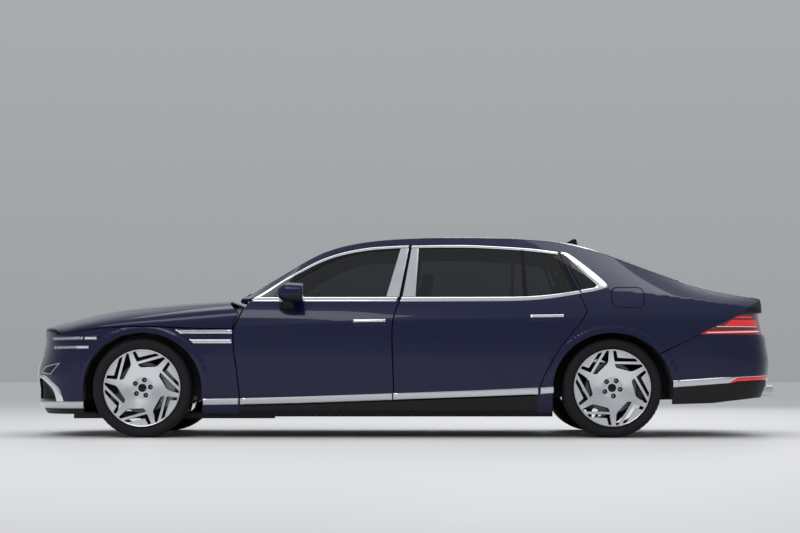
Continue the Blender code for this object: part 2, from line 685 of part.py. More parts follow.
def hood_rear_x(b):
    return np.interp(b, (0.0, 0.5, 0.72, 0.82, 0.90, 1.0), (-1.262, -1.240, -1.210, -1.187, -1.178, -1.216))


def build_hood():
    b = np.array([0.0, 0.20, 0.38, 0.54, 0.68, 0.80, 0.90, 1.0])
    a = np.linspace(0, 1, 8)
    aa, bb = np.meshgrid(a, b, indexing="ij")
    swing = bb * math.pi / 2
    front = hood_front_x(HOOD_FRONT_HALF * np.sin(swing) ** (2 / 1.9))
    rear = hood_rear_x(bb)
    x = front + (rear - front) * aa
    power = hood_full(x)
    y = hood_half(x) * np.sin(swing) ** (2 / power)
    z = HOOD_SIDE(x) + (hood_centre(x) - HOOD_SIDE(x)) * np.clip(np.cos(swing), 0, 1) ** (2 / power)
    half = np.stack([x, -y, z], axis=-1)
    other = half[:, :0:-1].copy()
    other[..., 1] *= -1
    outer = np.concatenate([other, half], axis=1)
    step = np.gradient(outer, axis=1)
    run = np.gradient(outer, axis=0)
    normal = np.cross(run, step)
    normal /= np.linalg.norm(normal, axis=-1, keepdims=True)
    normal *= np.sign(normal[..., 2:3] + 0.001)
    inner = outer - normal * SKIN_THICKNESS
    hood = slab_object("hood", placed(outer), placed(inner), "paint")
    for side in (-1, 1):
        x0, y0, z0 = placed((HOOD_HINGE[0], side * HOOD_HINGE[1], HOOD_HINGE[2]))
        front_x = placed((-1.33, 0, 0))[0]
        arm = prism("arm", [(x0 - 0.012, z0 - 0.012), (x0 + 0.012, z0 - 0.012), (x0 + 0.012, z0 + 0.010),
                            (front_x + 0.02, z0 + 0.020), (front_x, z0 + 0.044), (front_x - 0.05, z0 + 0.048),
                            (front_x - 0.05, z0 + 0.028), (front_x, z0 + 0.018)],
                    y0 - 0.006, y0 + 0.006, "steel")
        unite(hood, arm)
    return set_origin(hood, placed((HOOD_HINGE[0], 0, HOOD_HINGE[2])))


HOOD_HINGE = (-1.150, 0.695, 0.925)
LID_HINGE = (1.830, 0.520, 1.060)
LAMP_INNER = 0.672
LID_SIDE_GAP = 0.018
LID_FOOT_GAP = 0.010
# Swan-neck arm of the boot lid, from its pivot under the shelf round to the lid
LID_ARM = [(-0.011, 0.012), (-0.011, -0.195), (0.025, -0.226), (0.165, -0.226), (0.245, -0.155),
           (0.312, 0.005), (0.360, 0.016), (0.360, 0.036), (0.295, 0.030), (0.224, -0.143),
           (0.155, -0.204), (0.035, -0.204), (0.011, -0.185), (0.011, 0.012)]


def build_lid():
    """Boot lid: the deck, the raised tail edge and the rear face, with its hinge arms."""
    path = [(2.050, None), (2.20, None), (2.36, None), (2.50, None), (2.60, None), (2.672, 1.013),
            (2.678, 1.000), (2.650, 0.955), (2.632, 0.900), (2.640, 0.850), (2.655, 0.800),
            (2.664, BUMPER_TOP + LID_FOOT_GAP)]
    v = np.linspace(-1, 1, 9)
    outer = []
    for k, (x, z) in enumerate(path):
        if z is None:
            xs = lid_front(v) * (k == 0) + x * (k > 0) + 0 * v
            row = top_point(xs, v * 0.9915)
        else:
            side = min(float(cant_half(x)) * 0.9915, LAMP_INNER - LID_SIDE_GAP)
            back = 0.060 * np.abs(v) ** 2.5
            droop = 0.012 if z > 0.90 else 0.0
            row = np.stack([x - back, side * v, z - droop * np.abs(v) ** 2.4], axis=-1)
        outer.append(row)
    outer = np.array(outer)
    run = np.gradient(outer, axis=0)
    step = np.gradient(outer, axis=1)
    normal = np.cross(run, step)
    normal /= np.linalg.norm(normal, axis=-1, keepdims=True)
    inner = outer - normal * 0.018
    lid = slab_object("boot_lid", placed(outer), placed(inner), "paint")
    for side in (-1, 1):
        x0, y0, z0 = placed((LID_HINGE[0], side * LID_HINGE[1], LID_HINGE[2]))
        arm = prism("arm", [(x0 + x, z0 + z) for x, z in LID_ARM], y0 - 0.008, y0 + 0.008, "steel")
        unite(lid, arm)
    return set_origin(lid, placed((LID_HINGE[0], 0, LID_HINGE[2])))


# Nose and tail
LAMP_FOOT = 0.600
GRILLE_HALF = 0.400
LIP_TOP = 0.235
GRILLE_GAP = 0.0009
HOOD_GAP = 0.011
HOOD_LIP = 0.010
HOOD_TURN = 0.046
SPLIT_TURN = 117.5
FENDER_SPLIT_X = DRAWN_X[1] + ARCH_RADIUS * math.cos(math.radians(SPLIT_TURN))


def end_slab(name, reaches, low, high, thickness, finish, rear=False, rows=7):
    """Panel of the nose or tail between two level functions of the reach."""
    rr, tt = np.meshgrid(reaches, np.linspace(0, 1, rows), indexing="ij")
    z = low(rr) + (high(rr) - low(rr)) * tt
    outer = end_point(rr, z, rear)
    inner = end_point(rr, z, rear, thickness)
    return slab_object(name, placed(outer), placed(inner), finish)


def reach_at_x(x, rear=False):
    if rear:
        return float(np.interp(-x, -tail_x(TAIL_REACH), TAIL_REACH))
    return float(np.interp(x, nose_x(NOSE_REACH), NOSE_REACH))


def reach_at_y(y, rear=False):
    return float(np.interp(y, (tail_y if rear else nose_y)(TAIL_REACH if rear else NOSE_REACH),
                           TAIL_REACH if rear else NOSE_REACH))


def nose_top(r):
    """Level of the nose's upper edge, below the front edge of the hood and then below its side."""
    y = nose_y(r)
    x = np.where(y < HOOD_FRONT_HALF, hood_front_x(y), nose_x(r))
    share = np.clip(y / (HOOD_FRONT_HALF - HOOD_TURN), 0, 1) ** 0.95
    rise = np.sqrt(1 - share ** 2) ** (2 / 1.9)
    return HOOD_SIDE(x) + (hood_centre(x) - HOOD_SIDE(x)) * rise - HOOD_GAP - HOOD_LIP * rise


def build_nose():
    arch_front = DRAWN_X[1] - ARCH_RADIUS
    split_x = FENDER_SPLIT_X
    reaches = [0.0, 0.13, 0.27, reach_at_y(GRILLE_HALF), reach_at_y(0.52), reach_at_y(0.64), reach_at_x(-2.50),
               reach_at_x(-2.40), reach_at_x(arch_front - 0.004), reach_at_x(arch_front + 0.015),
               reach_at_x(arch_front + 0.055), reach_at_x(arch_front + 0.130), reach_at_x(arch_front + 0.180),
               reach_at_x(split_x)]
    lamp_end = 11

    def low(r):
        x = nose_x(r)
        over = np.clip(1 - ((x - DRAWN_X[1]) / ARCH_RADIUS) ** 2, 0, 1)
        arch = TYRE_RADIUS + (ARCH_TOP - TYRE_RADIUS) * np.sqrt(over)
        return np.where(x > arch_front, arch, 0.170)

    rows = []
    for k, r in enumerate(reaches):
        bottom = float(low(np.array(r)))
        top = float(nose_top(np.array(r)))
        if k <= lamp_end:
            levels = [bottom, LIP_TOP, 0.33, 0.45, 0.52, LAMP_FOOT, top]
            if bottom > LIP_TOP:
                levels = list(bottom + (LAMP_FOOT - bottom) * np.linspace(0, 1, 6)) + [top]
            if bottom > LAMP_FOOT - 0.03:
                levels = list(bottom + (top - bottom) * np.linspace(0, 1, 7))
        else:
            levels = list(bottom + (top - bottom) * np.linspace(0, 1, 7))
        rows.append(levels)
    rows = np.array(rows)
    rr = np.repeat(np.array(reaches)[:, None], rows.shape[1], axis=1)
    keep = np.ones((len(reaches) - 1, rows.shape[1] - 1), bool)
    keep[:3, 1:] = False
    keep[:9, 5] = False
    outer = end_point(rr, rows)
    inner = end_point(rr, rows, inward=0.030)
    flip = np.array([1, -1, 1])
    outer = np.concatenate([outer[:0:-1] * flip, outer])
    inner = np.concatenate([inner[:0:-1] * flip, inner])
    slab_object("front_bumper", placed(outer), placed(inner), "paint",
                keep=np.concatenate([keep[::-1], keep]))
    gap = SEAT_GAP
    lamp = end_slab("headlamp_left", [reach_at_y(GRILLE_HALF) + gap, reach_at_y(0.52), reach_at_y(0.64), reach_at_x(-2.50),
                                      reach_at_x(-2.40), reach_at_x(arch_front - 0.004) - gap],
                    lambda r: LAMP_FOOT + gap + 0 * r, nose_top, 0.045, "lamp", rows=4)
    mirrored(lamp, "headlamp_right")
    build_grille()


def build_grille():
    """Grille: a frame with upright and level bars in front of the radiator."""
    edge = reach_at_y(GRILLE_HALF) - GRILLE_GAP
    pitch = (edge - 0.030) / 5
    columns = [0.0] + [c for k in range(5) for c in (0.006 + k * pitch, 0.006 + (k + 1) * pitch - 0.012)] + [edge]
    levels = [LIP_TOP + SEAT_GAP]
    span = (0.765 - 0.265) / 5
    for k in range(5):
        levels += [0.262 + k * span, 0.262 + k * span + span - 0.012]
    levels.append(0.762)
    keep = np.ones((len(columns) - 1, len(levels) - 1), bool)
    for i in range(1, len(columns) - 1, 2):
        keep[i, 1:-1:2] = False
    top = np.array(levels)
    rr, zz = np.meshgrid(np.array(columns), top, indexing="ij")
    outer = end_point(rr, zz)
    inner = end_point(rr, zz, inward=0.030)
    flip = np.array([1, -1, 1])
    outer = np.concatenate([outer[:0:-1] * flip, outer])
    inner = np.concatenate([inner[:0:-1] * flip, inner])
    slab_object("grille", placed(outer), placed(inner), "chrome", keep=np.concatenate([keep[::-1], keep]))


def build_tail():
    arch_rear = DRAWN_X[2] + ARCH_RADIUS - 0.003
    reaches = [0.0, 0.2, 0.4, reach_at_y(0.56, True), reach_at_y(0.66, True), reach_at_x(2.60, True),
               reach_at_x(2.50, True), reach_at_x(2.35, True), reach_at_x(2.20, True), reach_at_x(2.06, True),
               reach_at_x(arch_rear + 0.006, True)]
    rows = []
    for r in reaches:
        x = float(tail_x(r))
        bottom = float(np.interp(x, (1.93, 2.233, 2.60, 2.7325), (0.238, 0.244, 0.280, 0.280)))
        rows.append([bottom, 0.36, 0.43, 0.55, 0.64, BUMPER_TOP])
    rows = np.array(rows)
    rr = np.repeat(np.array(reaches)[:, None], rows.shape[1], axis=1)
    outer = end_point(rr, rows, True)
    inner = end_point(rr, rows, True, 0.030)
    flip = np.array([1, -1, 1])
    bumper = slab_object("rear_bumper", placed(np.concatenate([outer[:0:-1] * flip, outer])),
                         placed(np.concatenate([inner[:0:-1] * flip, inner])), "paint")
    # Exhaust tips: square tubes through the lower edge of the bumper
    for side in (-1, 1):
        low, high = sorted((side * 0.470, side * 0.625))
        tube = block("tube", placed((2.600, low, 0.296)), placed((2.712, high, 0.372)), "paint")
        hollow = block("hollow", placed((2.590, low + 0.007, 0.303)), placed((2.720, high - 0.007, 0.365)), "paint")
        core = block("core", placed((2.590, low + 0.003, 0.299)), placed((2.706, high - 0.003, 0.369)), "paint")
        cut(bumper, core)
        unite(bumper, cut(tube, hollow))
    # Lamp: from its tip on the side round the corner to the boot lid
    lamp_reach = [reach_at_y(LAMP_INNER, True), reach_at_x(2.60, True), reach_at_x(2.50, True), reach_at_x(2.40, True),
                  reach_at_x(2.28, True), reach_at_x(2.135, True)]
    low = lambda r: BUMPER_TOP + SEAM_GAP + 0 * r
    high = lambda r: np.interp(tail_x(r), [p[0] for p in LAMP_TOP], [p[1] for p in LAMP_TOP]) + 0.010
    lamp = end_slab("tail_lamp_left", lamp_reach, low, high, 0.040, "red_lamp", rear=True, rows=4)
    above = LAMP_TOP[:3] + [(2.72, LAMP_TOP[2][1]), (2.72, 1.1), (2.0, 1.1), (2.0, LAMP_TOP[0][1])]
    cut(lamp, side_cutter(above))
    mirrored(lamp, "tail_lamp_right")


def build_fender():
    """Fender: from the split ahead of the arch to the door, below the hood's edge."""
    arch = arch_outline(DRAWN_X[1], ARCH_RADIUS, 0, SPLIT_TURN, 12)
    top = [(x, float(HOOD_SIDE(x)) - HOOD_GAP) for x in (FENDER_SPLIT_X + 0.0002, -1.95, -1.86, -1.70, -1.60, -1.45, -1.30, -1.2115)]
    foot = (-1.43, 0.176)
    outline = inset([
        ([foot, (-1.166, 0.176)], 0.0),
        ([(-1.166, 0.176), (-1.183, 0.465), (-1.200, 0.579), (-1.210, 0.675), top[-1]], 0.0),
        (list(reversed(top)), 0.0),
        ([top[0], arch[-1]], 0.0),
        (list(reversed(arch)), 0.0),
        ([arch[0], foot], 0.0)])
    fender = side_panel("fender_left", outline, np.linspace(-2.12, -1.13, 6),
                        [0.165, 0.195, 0.222, 0.30, 0.45, 0.65, 0.82], lambda x, z: SKIN_THICKNESS, "paint")
    mirrored(fender, "fender_right")


# Wheels, steering and axles
BARREL_INNER = RIM_RADIUS - 0.011
DISC_RADIUS = BARREL_INNER - 0.085
DISC_Y = (TYRE_FACE - 0.140, TYRE_FACE - 0.110)
POST_HALF = BARREL_INNER - 0.120
CALIPER_RADIUS = BARREL_INNER - 0.038
SPINDLE_RADIUS = 0.045
WHEEL_GROUPS = 6
RIM_FACETS = WHEEL_GROUPS * 5
# Windows of one group, drawn for a rim of 0.281 m: a slanted one and a bent one outside the thin blade
WINDOW_SCALE = BARREL_INNER / 0.276
SLANTED_WINDOW = [(-0.031, 0.162), (-0.024, 0.174), (0.148, 0.220), (0.164, 0.208), (0.112, 0.160), (0.094, 0.153), (-0.014, 0.149)]
BENT_WINDOW = [(-0.0695, 0.258), (-0.049, 0.2625), (-0.024, 0.2205), (0.0995, 0.2475), (0.124, 0.236), (-0.0355, 0.190), (-0.041, 0.195)]


def wheel_centre(front, side):
    width = TYRE_WIDTH_FRONT if front else TYRE_WIDTH_REAR
    return (FRONT_AXLE_X if front else REAR_AXLE_X, side * (TYRE_FACE - width / 2), TYRE_RADIUS)


def build_tyre(name, front, side):
    half = (TYRE_WIDTH_FRONT if front else TYRE_WIDTH_REAR) / 2
    bead = RIM_RADIUS + SEAT_GAP
    tread = TYRE_RADIUS / math.cos(math.pi / RIM_FACETS)
    profile = [(bead, -half * 0.80), (RIM_RADIUS + 0.014, -half * 0.95), (RIM_RADIUS + 0.040, -half),
               (tread - 0.018, -half * 0.95), (tread, -half * 0.75),
               (tread, half * 0.75), (tread - 0.018, half * 0.95),
               (RIM_RADIUS + 0.040, half), (RIM_RADIUS + 0.014, half * 0.95), (bead, half * 0.80)]
    centre = wheel_centre(front, side)
    verts, faces = turned(profile, (0, 0, 0), RIM_FACETS)
    tyre = make_object(name, verts, faces, "tyre")
    tyre.location = centre
    return tyre


def build_wheel(name, front, side):
    """Rim, spokes, hub and brake disc, turned and cut as one casting."""
    half = (TYRE_WIDTH_FRONT if front else TYRE_WIDTH_REAR) / 2
    offset = TYRE_FACE - half
    face = half - 0.010
    radii = [0.078, BARREL_INNER, BARREL_INNER + 0.003, RIM_RADIUS]
    front_y = [face - 0.030, face - 0.006, face - 0.004, face - 0.012]
    back_y = [face - 0.072, face - 0.036, -half * 0.88, -half * 0.80]
    turns = np.arange(RIM_FACETS) * 2 * math.pi / RIM_FACETS
    outer = np.array([[(r * math.cos(a), side * y, r * math.sin(a)) for a in turns] for r, y in zip(radii, front_y)])
    inner = np.array([[(r * math.cos(a), side * y, r * math.sin(a)) for a in turns] for r, y in zip(radii, back_y)])
    wheel = slab_object(name, outer, inner, "alloy", wrap=True, cap=True)
    low, high = sorted((side * (face - 0.100), side * (face + 0.020)))
    windows = []
    for k in range(WHEEL_GROUPS):
        c, s = math.cos(2 * math.pi * k / WHEEL_GROUPS), math.sin(2 * math.pi * k / WHEEL_GROUPS)
        for drawn in (SLANTED_WINDOW, BENT_WINDOW):
            outline = [(WINDOW_SCALE * (x * c - z * s), WINDOW_SCALE * (x * s + z * c)) for x, z in drawn]
            windows.append(prism("window", outline, low, high, "alloy"))
    cut(wheel, *windows)
    # Brake disc and its hat, bolted behind the hub
    y0, y1 = DISC_Y[0] - offset, DISC_Y[1] - offset
    profile = [(0.0001, y0), (DISC_RADIUS, y0), (DISC_RADIUS, y1), (0.085, y1), (0.074, face - 0.066), (0.0001, face - 0.066)]
    verts, faces = turned([(r, side * y) for r, y in profile], (0, 0, 0), RIM_FACETS // 2)
    disc = make_object("disc", verts, faces, "alloy")
    unite(wheel, disc)
    wheel.location = wheel_centre(front, side)
    return wheel


def build_knuckle(name, side):
    """Steering knuckle with its kingpin ends, spindle and brake caliper."""
    x, y, z = wheel_centre(True, side)
    pin_y = y - side * KINGPIN_INSET
    spindle_end = side * (DISC_Y[0] - SEAT_GAP)
    post = block("post", (x - 0.035, min(pin_y - 0.024, pin_y + 0.024), z - POST_HALF),
                 (x + 0.035, max(pin_y - 0.024, pin_y + 0.024), z + POST_HALF), "steel")
    spindle = cylinder("spindle", SPINDLE_RADIUS, min(pin_y, spindle_end), max(pin_y, spindle_end), (x, z), axis="y")
    low, high = sorted((side * (DISC_Y[0] - 0.030), side * (DISC_Y[1] + 0.026)))
    arc = [(x + r * math.cos(a), z + r * math.sin(a)) for r, turns in ((CALIPER_RADIUS, (-38, 38)), (DISC_RADIUS - 0.065, (38, -38)))
           for a in np.radians(np.linspace(*turns, 5))]
    caliper = prism("caliper", arc, low, high, "steel")
    slot_low, slot_high = sorted((side * (DISC_Y[0] - 0.003), side * (DISC_Y[1] + 0.003)))
    verts, faces = turned([(0.0001, slot_low), (DISC_RADIUS + 0.006, slot_low), (DISC_RADIUS + 0.006, slot_high), (0.0001, slot_high)],
                          (x, 0, z), 16)
    slot = make_object("slot", verts, faces, "steel")
    cut(caliper, slot)
    lug = block("lug", (x + 0.030, min(pin_y - 0.02, pin_y + 0.02), z - 0.045), (x + 0.150, max(pin_y - 0.02, pin_y + 0.02), z + 0.045), "steel")
    unite(post, spindle, lug, caliper)
    post.name = name
    return set_origin(post, (x, pin_y, z))


FLOOR_LEVEL = 0.185
FLOOR_THICKNESS = 0.022
RAIL_TOP = FLOOR_LEVEL - FLOOR_THICKNESS - SEAT_GAP
RAIL_LOW = 0.125
CROSS_TOP = 0.245
BOOT_FLOOR = 0.460
SEAT_STEP = 0.340
SHELF_LEVEL = 0.980
BEAM_LEVEL = 0.760
BEAM_END = 0.0028
PILLAR_THICKNESS = 0.045
CONSOLE = [(-1.02, 0.175), (0.180, 0.175), (0.180, 0.520), (-0.300, 0.530), (-0.360, 0.500), (-0.820, 0.560), (-1.02, 0.560)]


def build_front_subframe():
    """Engine block on its cross member, with the arms that hold the knuckles."""
    x, y, z = FRONT_AXLE_X, 0.0, TYRE_RADIUS
    pin = TYRE_FACE - TYRE_WIDTH_FRONT / 2 - KINGPIN_INSET
    member = block("front_subframe", (x - 0.10, -0.40, RAIL_LOW), (x + 0.10, 0.40, CROSS_TOP), "steel")
    for side in (-1, 1):
        low, high = sorted((side * 0.38, side * (pin + 0.02)))
        member = unite(member, prism("arm", [(x - 0.028, 0.180), (x + 0.028, 0.180), (x + 0.028, z - POST_HALF - SEAT_GAP),
                                             (x - 0.028, z - POST_HALF - SEAT_GAP)], low, high, "steel"))
        wall = placed((0, LINER_WALL[0] - 0.004, 0))[1]
        low, high = sorted((side * (wall - 0.036), side * (pin + 0.02)))
        tower_low, tower_high = sorted((side * (wall - 0.116), side * wall))
        tower = block("tower", (x - 0.055, tower_low, 0.20), (x + 0.055, tower_high, 0.700), "steel")
        arm = prism("arm", [(x - 0.026, z + POST_HALF + SEAT_GAP), (x + 0.026, z + POST_HALF + SEAT_GAP),
                            (x + 0.026, z + POST_HALF + 0.026), (x - 0.026, z + POST_HALF + 0.026)], low, high, "steel")
        unite(member, tower, arm)
    for side in (-1, 1):
        low, high = sorted((side * 0.30, side * 0.38))
        unite(member, block("rail", (x - 0.58, low, RAIL_LOW), (placed((-0.95, 0, 0))[0], high, RAIL_TOP), "steel"))
    liner = build_liner("liner", -1.8625)
    unite(member, mirrored(liner, "twin"), liner)
    engine = block("engine", (x - 0.430, -0.27, CROSS_TOP + SEAT_GAP), (x + 0.350, 0.27, 0.820), "trim", 0.02)
    return member, engine


def build_rear_axle():
    """Rear subframe with the hubs, brake calipers and drive shafts."""
    x, y, z = REAR_AXLE_X, 0.0, TYRE_RADIUS
    member = block("rear_axle", (x - 0.16, -0.30, z - 0.10), (x + 0.16, 0.30, BOOT_FLOOR - 0.020 - SEAT_GAP), "steel")
    for side in (-1, 1):
        end = side * (DISC_Y[0] - SEAT_GAP)
        low, high = sorted((side * 0.25, end))
        unite(member, cylinder("shaft", SPINDLE_RADIUS, low, high, (x, z), axis="y"))
        low, high = sorted((side * (DISC_Y[0] - 0.055), side * (DISC_Y[0] - 0.010)))
        carrier = block("carrier", (x - 0.060, low, z - 0.110), (x + 0.060, high, z + 0.110), "steel")
        arm_low, arm_high = sorted((side * 0.25, side * (DISC_Y[0] - 0.030)))
        arm = block("arm", (x - 0.030, arm_low, z - 0.100), (x + 0.030, arm_high, z - 0.070), "steel")
        low, high = sorted((side * (DISC_Y[0] - 0.030), side * (DISC_Y[1] + 0.026)))
        arc = [(x + r * math.cos(a), z + r * math.sin(a)) for r, turns in ((CALIPER_RADIUS, (-32, 32)), (SPINDLE_RADIUS + 0.005, (32, -32)))
               for a in np.radians(np.linspace(*turns, 5))]
        caliper = prism("caliper", arc, low, high, "steel")
        slot_low, slot_high = sorted((side * (DISC_Y[0] - 0.004), side * (DISC_Y[1] + 0.06)))
        verts, faces = turned([(0.0001, slot_low), (DISC_RADIUS + 0.006, slot_low), (DISC_RADIUS + 0.006, slot_high), (0.0001, slot_high)],
                              (x, 0, z), 16)
        cut(caliper, make_object("slot", verts, faces, "steel"))
        unite(member, carrier, arm, caliper)
    return member


# Cabin and structure
def build_sills():
    """Sills with the hinge pillars and centre pillars, behind the doors."""
    stations = [-1.30, -1.1655, -1.160, -1.03, -0.06, 0.10, 0.80, 0.9752]
    drawn = []
    inner_drawn = []
    for x in stations:
        bottom = float(np.interp(x, (-1.16, -0.054, 0.976), (0.232, 0.268, 0.312))) - 0.010
        column = []
        back = []
        for k, z in enumerate((0.178, 0.195, bottom - 0.002, bottom, 0.33, BEAM_LEVEL, 0.93, 0.96, 1.20, 1.37)):
            w = float(half_width(max(x, -1.2), z))
            lean = max(0.0, (z - 0.96)) * 0.14
            if k == 0:
                w -= 0.03
            if x < -1.165:
                w -= SKIN_THICKNESS + SEAM_GAP if k < 3 else 0.0
            if k >= 3:
                w -= (DOOR_THICKNESS if z < 0.95 else FRAME_THICKNESS + 0.072 * (z < 1.0)) + PILLAR_SETBACK
            column.append((x + lean * (k > 3), -w, z))
            wall = PILLAR_THICKNESS if k > 3 else (w - 0.735)
            back.append((x + lean * (k > 3), -w + wall, z))
        drawn.append(column)
        inner_drawn.append(back)
    keep = np.zeros((len(stations) - 1, 9), bool)
    keep[:, :4] = True
    keep[0:3, 4:6] = True
    keep[4, 4:9] = True
    sill = slab_object("sill_left", placed(drawn), placed(inner_drawn), "paint", keep=keep)
    for hinge_x in (FRONT_HINGE_X, REAR_HINGE_X):
        for level in HINGE_LEVELS:
            pillar = placed((hinge_x, -float(half_width(hinge_x, level)) + DOOR_THICKNESS + PILLAR_SETBACK, level))
            unite(sill, pillar_hinge(hinge_x, level, pillar[1]))
    x, y, z = placed((HOOD_HINGE[0], -HOOD_HINGE[1] - 0.006 - SEAT_GAP, HOOD_HINGE[2]))
    unite(sill, cylinder("pin", 0.012, y - 0.060, y, (x, z), axis="y"))
    return sill


def build_floor():
    """Floor pan from the bulkhead past the rear seat to the parcel shelf."""
    path = [(-1.245, 0.905), (-1.300, 0.870), (-1.330, 0.550), (-1.180, 0.205), (-1.10, FLOOR_LEVEL), (0.60, FLOOR_LEVEL),
            (0.68, SEAT_STEP), (1.22, SEAT_STEP), (1.42, SHELF_LEVEL - 0.020), (1.50, SHELF_LEVEL), (1.79, SHELF_LEVEL)]
    thick = FLOOR_THICKNESS
    pts = np.array(path)
    run = np.gradient(pts, axis=0)
    run /= np.linalg.norm(run, axis=1, keepdims=True)
    normal = np.stack([-run[:, 1], run[:, 0]], axis=1)
    under = pts + normal * -thick
    side = 0.735 - SEAT_GAP
    half = [0.66, 0.66, 0.70, 0.725, side, side, 0.62, 0.60, 0.60, 0.60, 0.60]
    outer = []
    inner = []
    for (x, z), (x2, z2), h in zip(path, under, half):
        outer.append([(x, y, z) for y in np.linspace(-h, h, 3)])
        inner.append([(x2, y, z2) for y in np.linspace(-h, h, 3)])
    floor = slab_object("floor_pan", placed(outer), placed(inner), "trim")
    x0, x1 = placed((1.21, 0, 0))[0], placed((2.60, 0, 0))[0]
    half = placed((0, LINER_WALL[1] - 0.006, 0))[1]
    boot = block("boot", (x0, -half, BOOT_FLOOR - 0.020), (x1, half, BOOT_FLOOR))
    liner = build_liner("liner", 1.5075)
    unite(floor, boot, mirrored(liner, "twin"), liner)
    x, y, z = placed(LID_HINGE)
    for side in (-1, 1):
        low, high = sorted((side * (y + 0.008 + SEAT_GAP), side * (y + 0.022)))
        unite(floor, block("bracket", (x - 0.065, low, SHELF_LEVEL - 0.020), (x + 0.020, high, z + 0.018)))
    console = prism("console", [tuple(placed((px, 0, pz))[[0, 2]]) for px, pz in CONSOLE], -0.098, 0.098)
    unite(floor, console)
    return floor


def build_seat(name, x, y, half, back_lean, floor, tall):
    cushion = block(name, placed((x - 0.27, y - half, floor)), placed((x + 0.27, y + half, floor + tall)), "leather")
    floor += tall - 0.20
    back = prism("back", [tuple(placed((px, 0, pz))[[0, 2]]) for px, pz in (
        (x + 0.20, floor + 0.16), (x + 0.33, floor + 0.17), (x + 0.33 + back_lean, floor + 0.80),
        (x + 0.22 + back_lean, floor + 0.80))], y - half, y + half, "leather")
    head = block("head", placed((x + 0.215 + back_lean, y - 0.13, floor + 0.79)), placed((x + 0.315 + back_lean, y + 0.13, floor + 0.95)), "leather")
    return unite(cushion, back, head)


def build_dashboard():
    outline = [(-1.228, 0.902), (-1.150, 0.700), (-1.02, 0.62), (-0.86, 0.70), (-0.80, 0.86), (-0.84, 0.94), (-0.93, 0.965), (-1.08, 0.945)]
    half = placed((0, 0.655, 0))[1]
    dash = prism("dashboard", [tuple(placed((x, 0, z))[[0, 2]]) for x, z in outline], -half, half, "trim")
    start = STEER_CENTRE - STEER_AXIS * 0.320
    end = STEER_CENTRE - STEER_AXIS * (HUB_BACK + SEAT_GAP)
    column = rod("column", start, end, 0.035)
    half = float(half_width(-1.06, BEAM_LEVEL)) - DOOR_THICKNESS - PILLAR_SETBACK - PILLAR_THICKNESS
    x, half, z = placed((-1.06, half, BEAM_LEVEL))
    beam = cylinder("beam", 0.012, BEAM_END - half, half - BEAM_END, (x, z), "trim", axis="y")
    return unite(dash, column, beam)


WHEEL_Y = -0.370
STEER_CENTRE = Vector(tuple(placed((-0.560, WHEEL_Y, 0.905))))
STEER_AXIS = Vector((math.cos(math.radians(24)), 0.0, math.sin(math.radians(24))))
STEER_RADIUS = 0.182
HUB_BACK = 0.040


def rod(name, start, end, radius, finish="steel", sides=12):
    direction = (end - start).normalized()
    across = direction.cross(Vector((0, 1, 0))).normalized()
    up = direction.cross(across)
    rings = [[tuple(p + across * radius * math.cos(a) + up * radius * math.sin(a))
              for a in np.arange(sides) * 2 * math.pi / sides] for p in (start, end)]
    return loft_object(name, rings, finish)


def build_steering_wheel():
    side = Vector((0, 1, 0))
    up = STEER_AXIS.cross(side).normalized()
    verts = []
    faces = []
    major, minor = 20, 6
    for k in range(major):
        a = 2 * math.pi * k / major
        out = side * math.cos(a) + up * math.sin(a)
        for j in range(minor):
            b = 2 * math.pi * j / minor
            verts.append(STEER_CENTRE + out * (STEER_RADIUS + 0.014 * math.cos(b)) + STEER_AXIS * 0.014 * math.sin(b))
    for k in range(major):
        for j in range(minor):
            n, m = (k + 1) % major, (j + 1) % minor
            faces.append((k * minor + j, n * minor + j, n * minor + m, k * minor + m))
    rim = make_object("steering_wheel", verts, faces, "leather")
    hub = rod("hub", STEER_CENTRE - STEER_AXIS * HUB_BACK, STEER_CENTRE + STEER_AXIS * 0.012, 0.055, "trim", 16)
    spokes = [rod("spoke", STEER_CENTRE + out * 0.03, STEER_CENTRE + out * (STEER_RADIUS - 0.002), 0.010, "trim", 8)
              for out in (side, side * -1.0, up * -1.0 if up.z > 0 else up)]
    unite(rim, hub, *spokes)
    return set_origin(rim, STEER_CENTRE)


def build_liner(name, axle):
    """Wheel housing: a half tube over the wheel with its inner wall."""
    turns = np.radians(np.linspace(-12, 192, 11))
    inner_y = LINER_WALL[0] if axle < 0 else LINER_WALL[1]
    outer = []
    inner = []
    rise = (ARCH_TOP - TYRE_RADIUS) / ARCH_RADIUS
    for a in turns:
        c, s = math.cos(a), math.sin(a)
        r_in, r_out = ARCH_RADIUS + 0.004, ARCH_RADIUS + 0.012
        edge = -float(half_width(axle + r_out * c, TYRE_RADIUS + r_out * rise * s)) + LINER_SETBACK
        outer.append([(axle + r * c, y, TYRE_RADIUS + r * rise * s)
                      for r, y in ((r_out, edge), (r_out, -inner_y + 0.008), (0.24, -inner_y + 0.008))])
        inner.append([(axle + r * c, y, TYRE_RADIUS + r * rise * s)
                      for r, y in ((r_in, edge), (r_in, -inner_y), (0.24, -inner_y))])
    return slab_object(name, placed(outer), placed(inner), "trim")


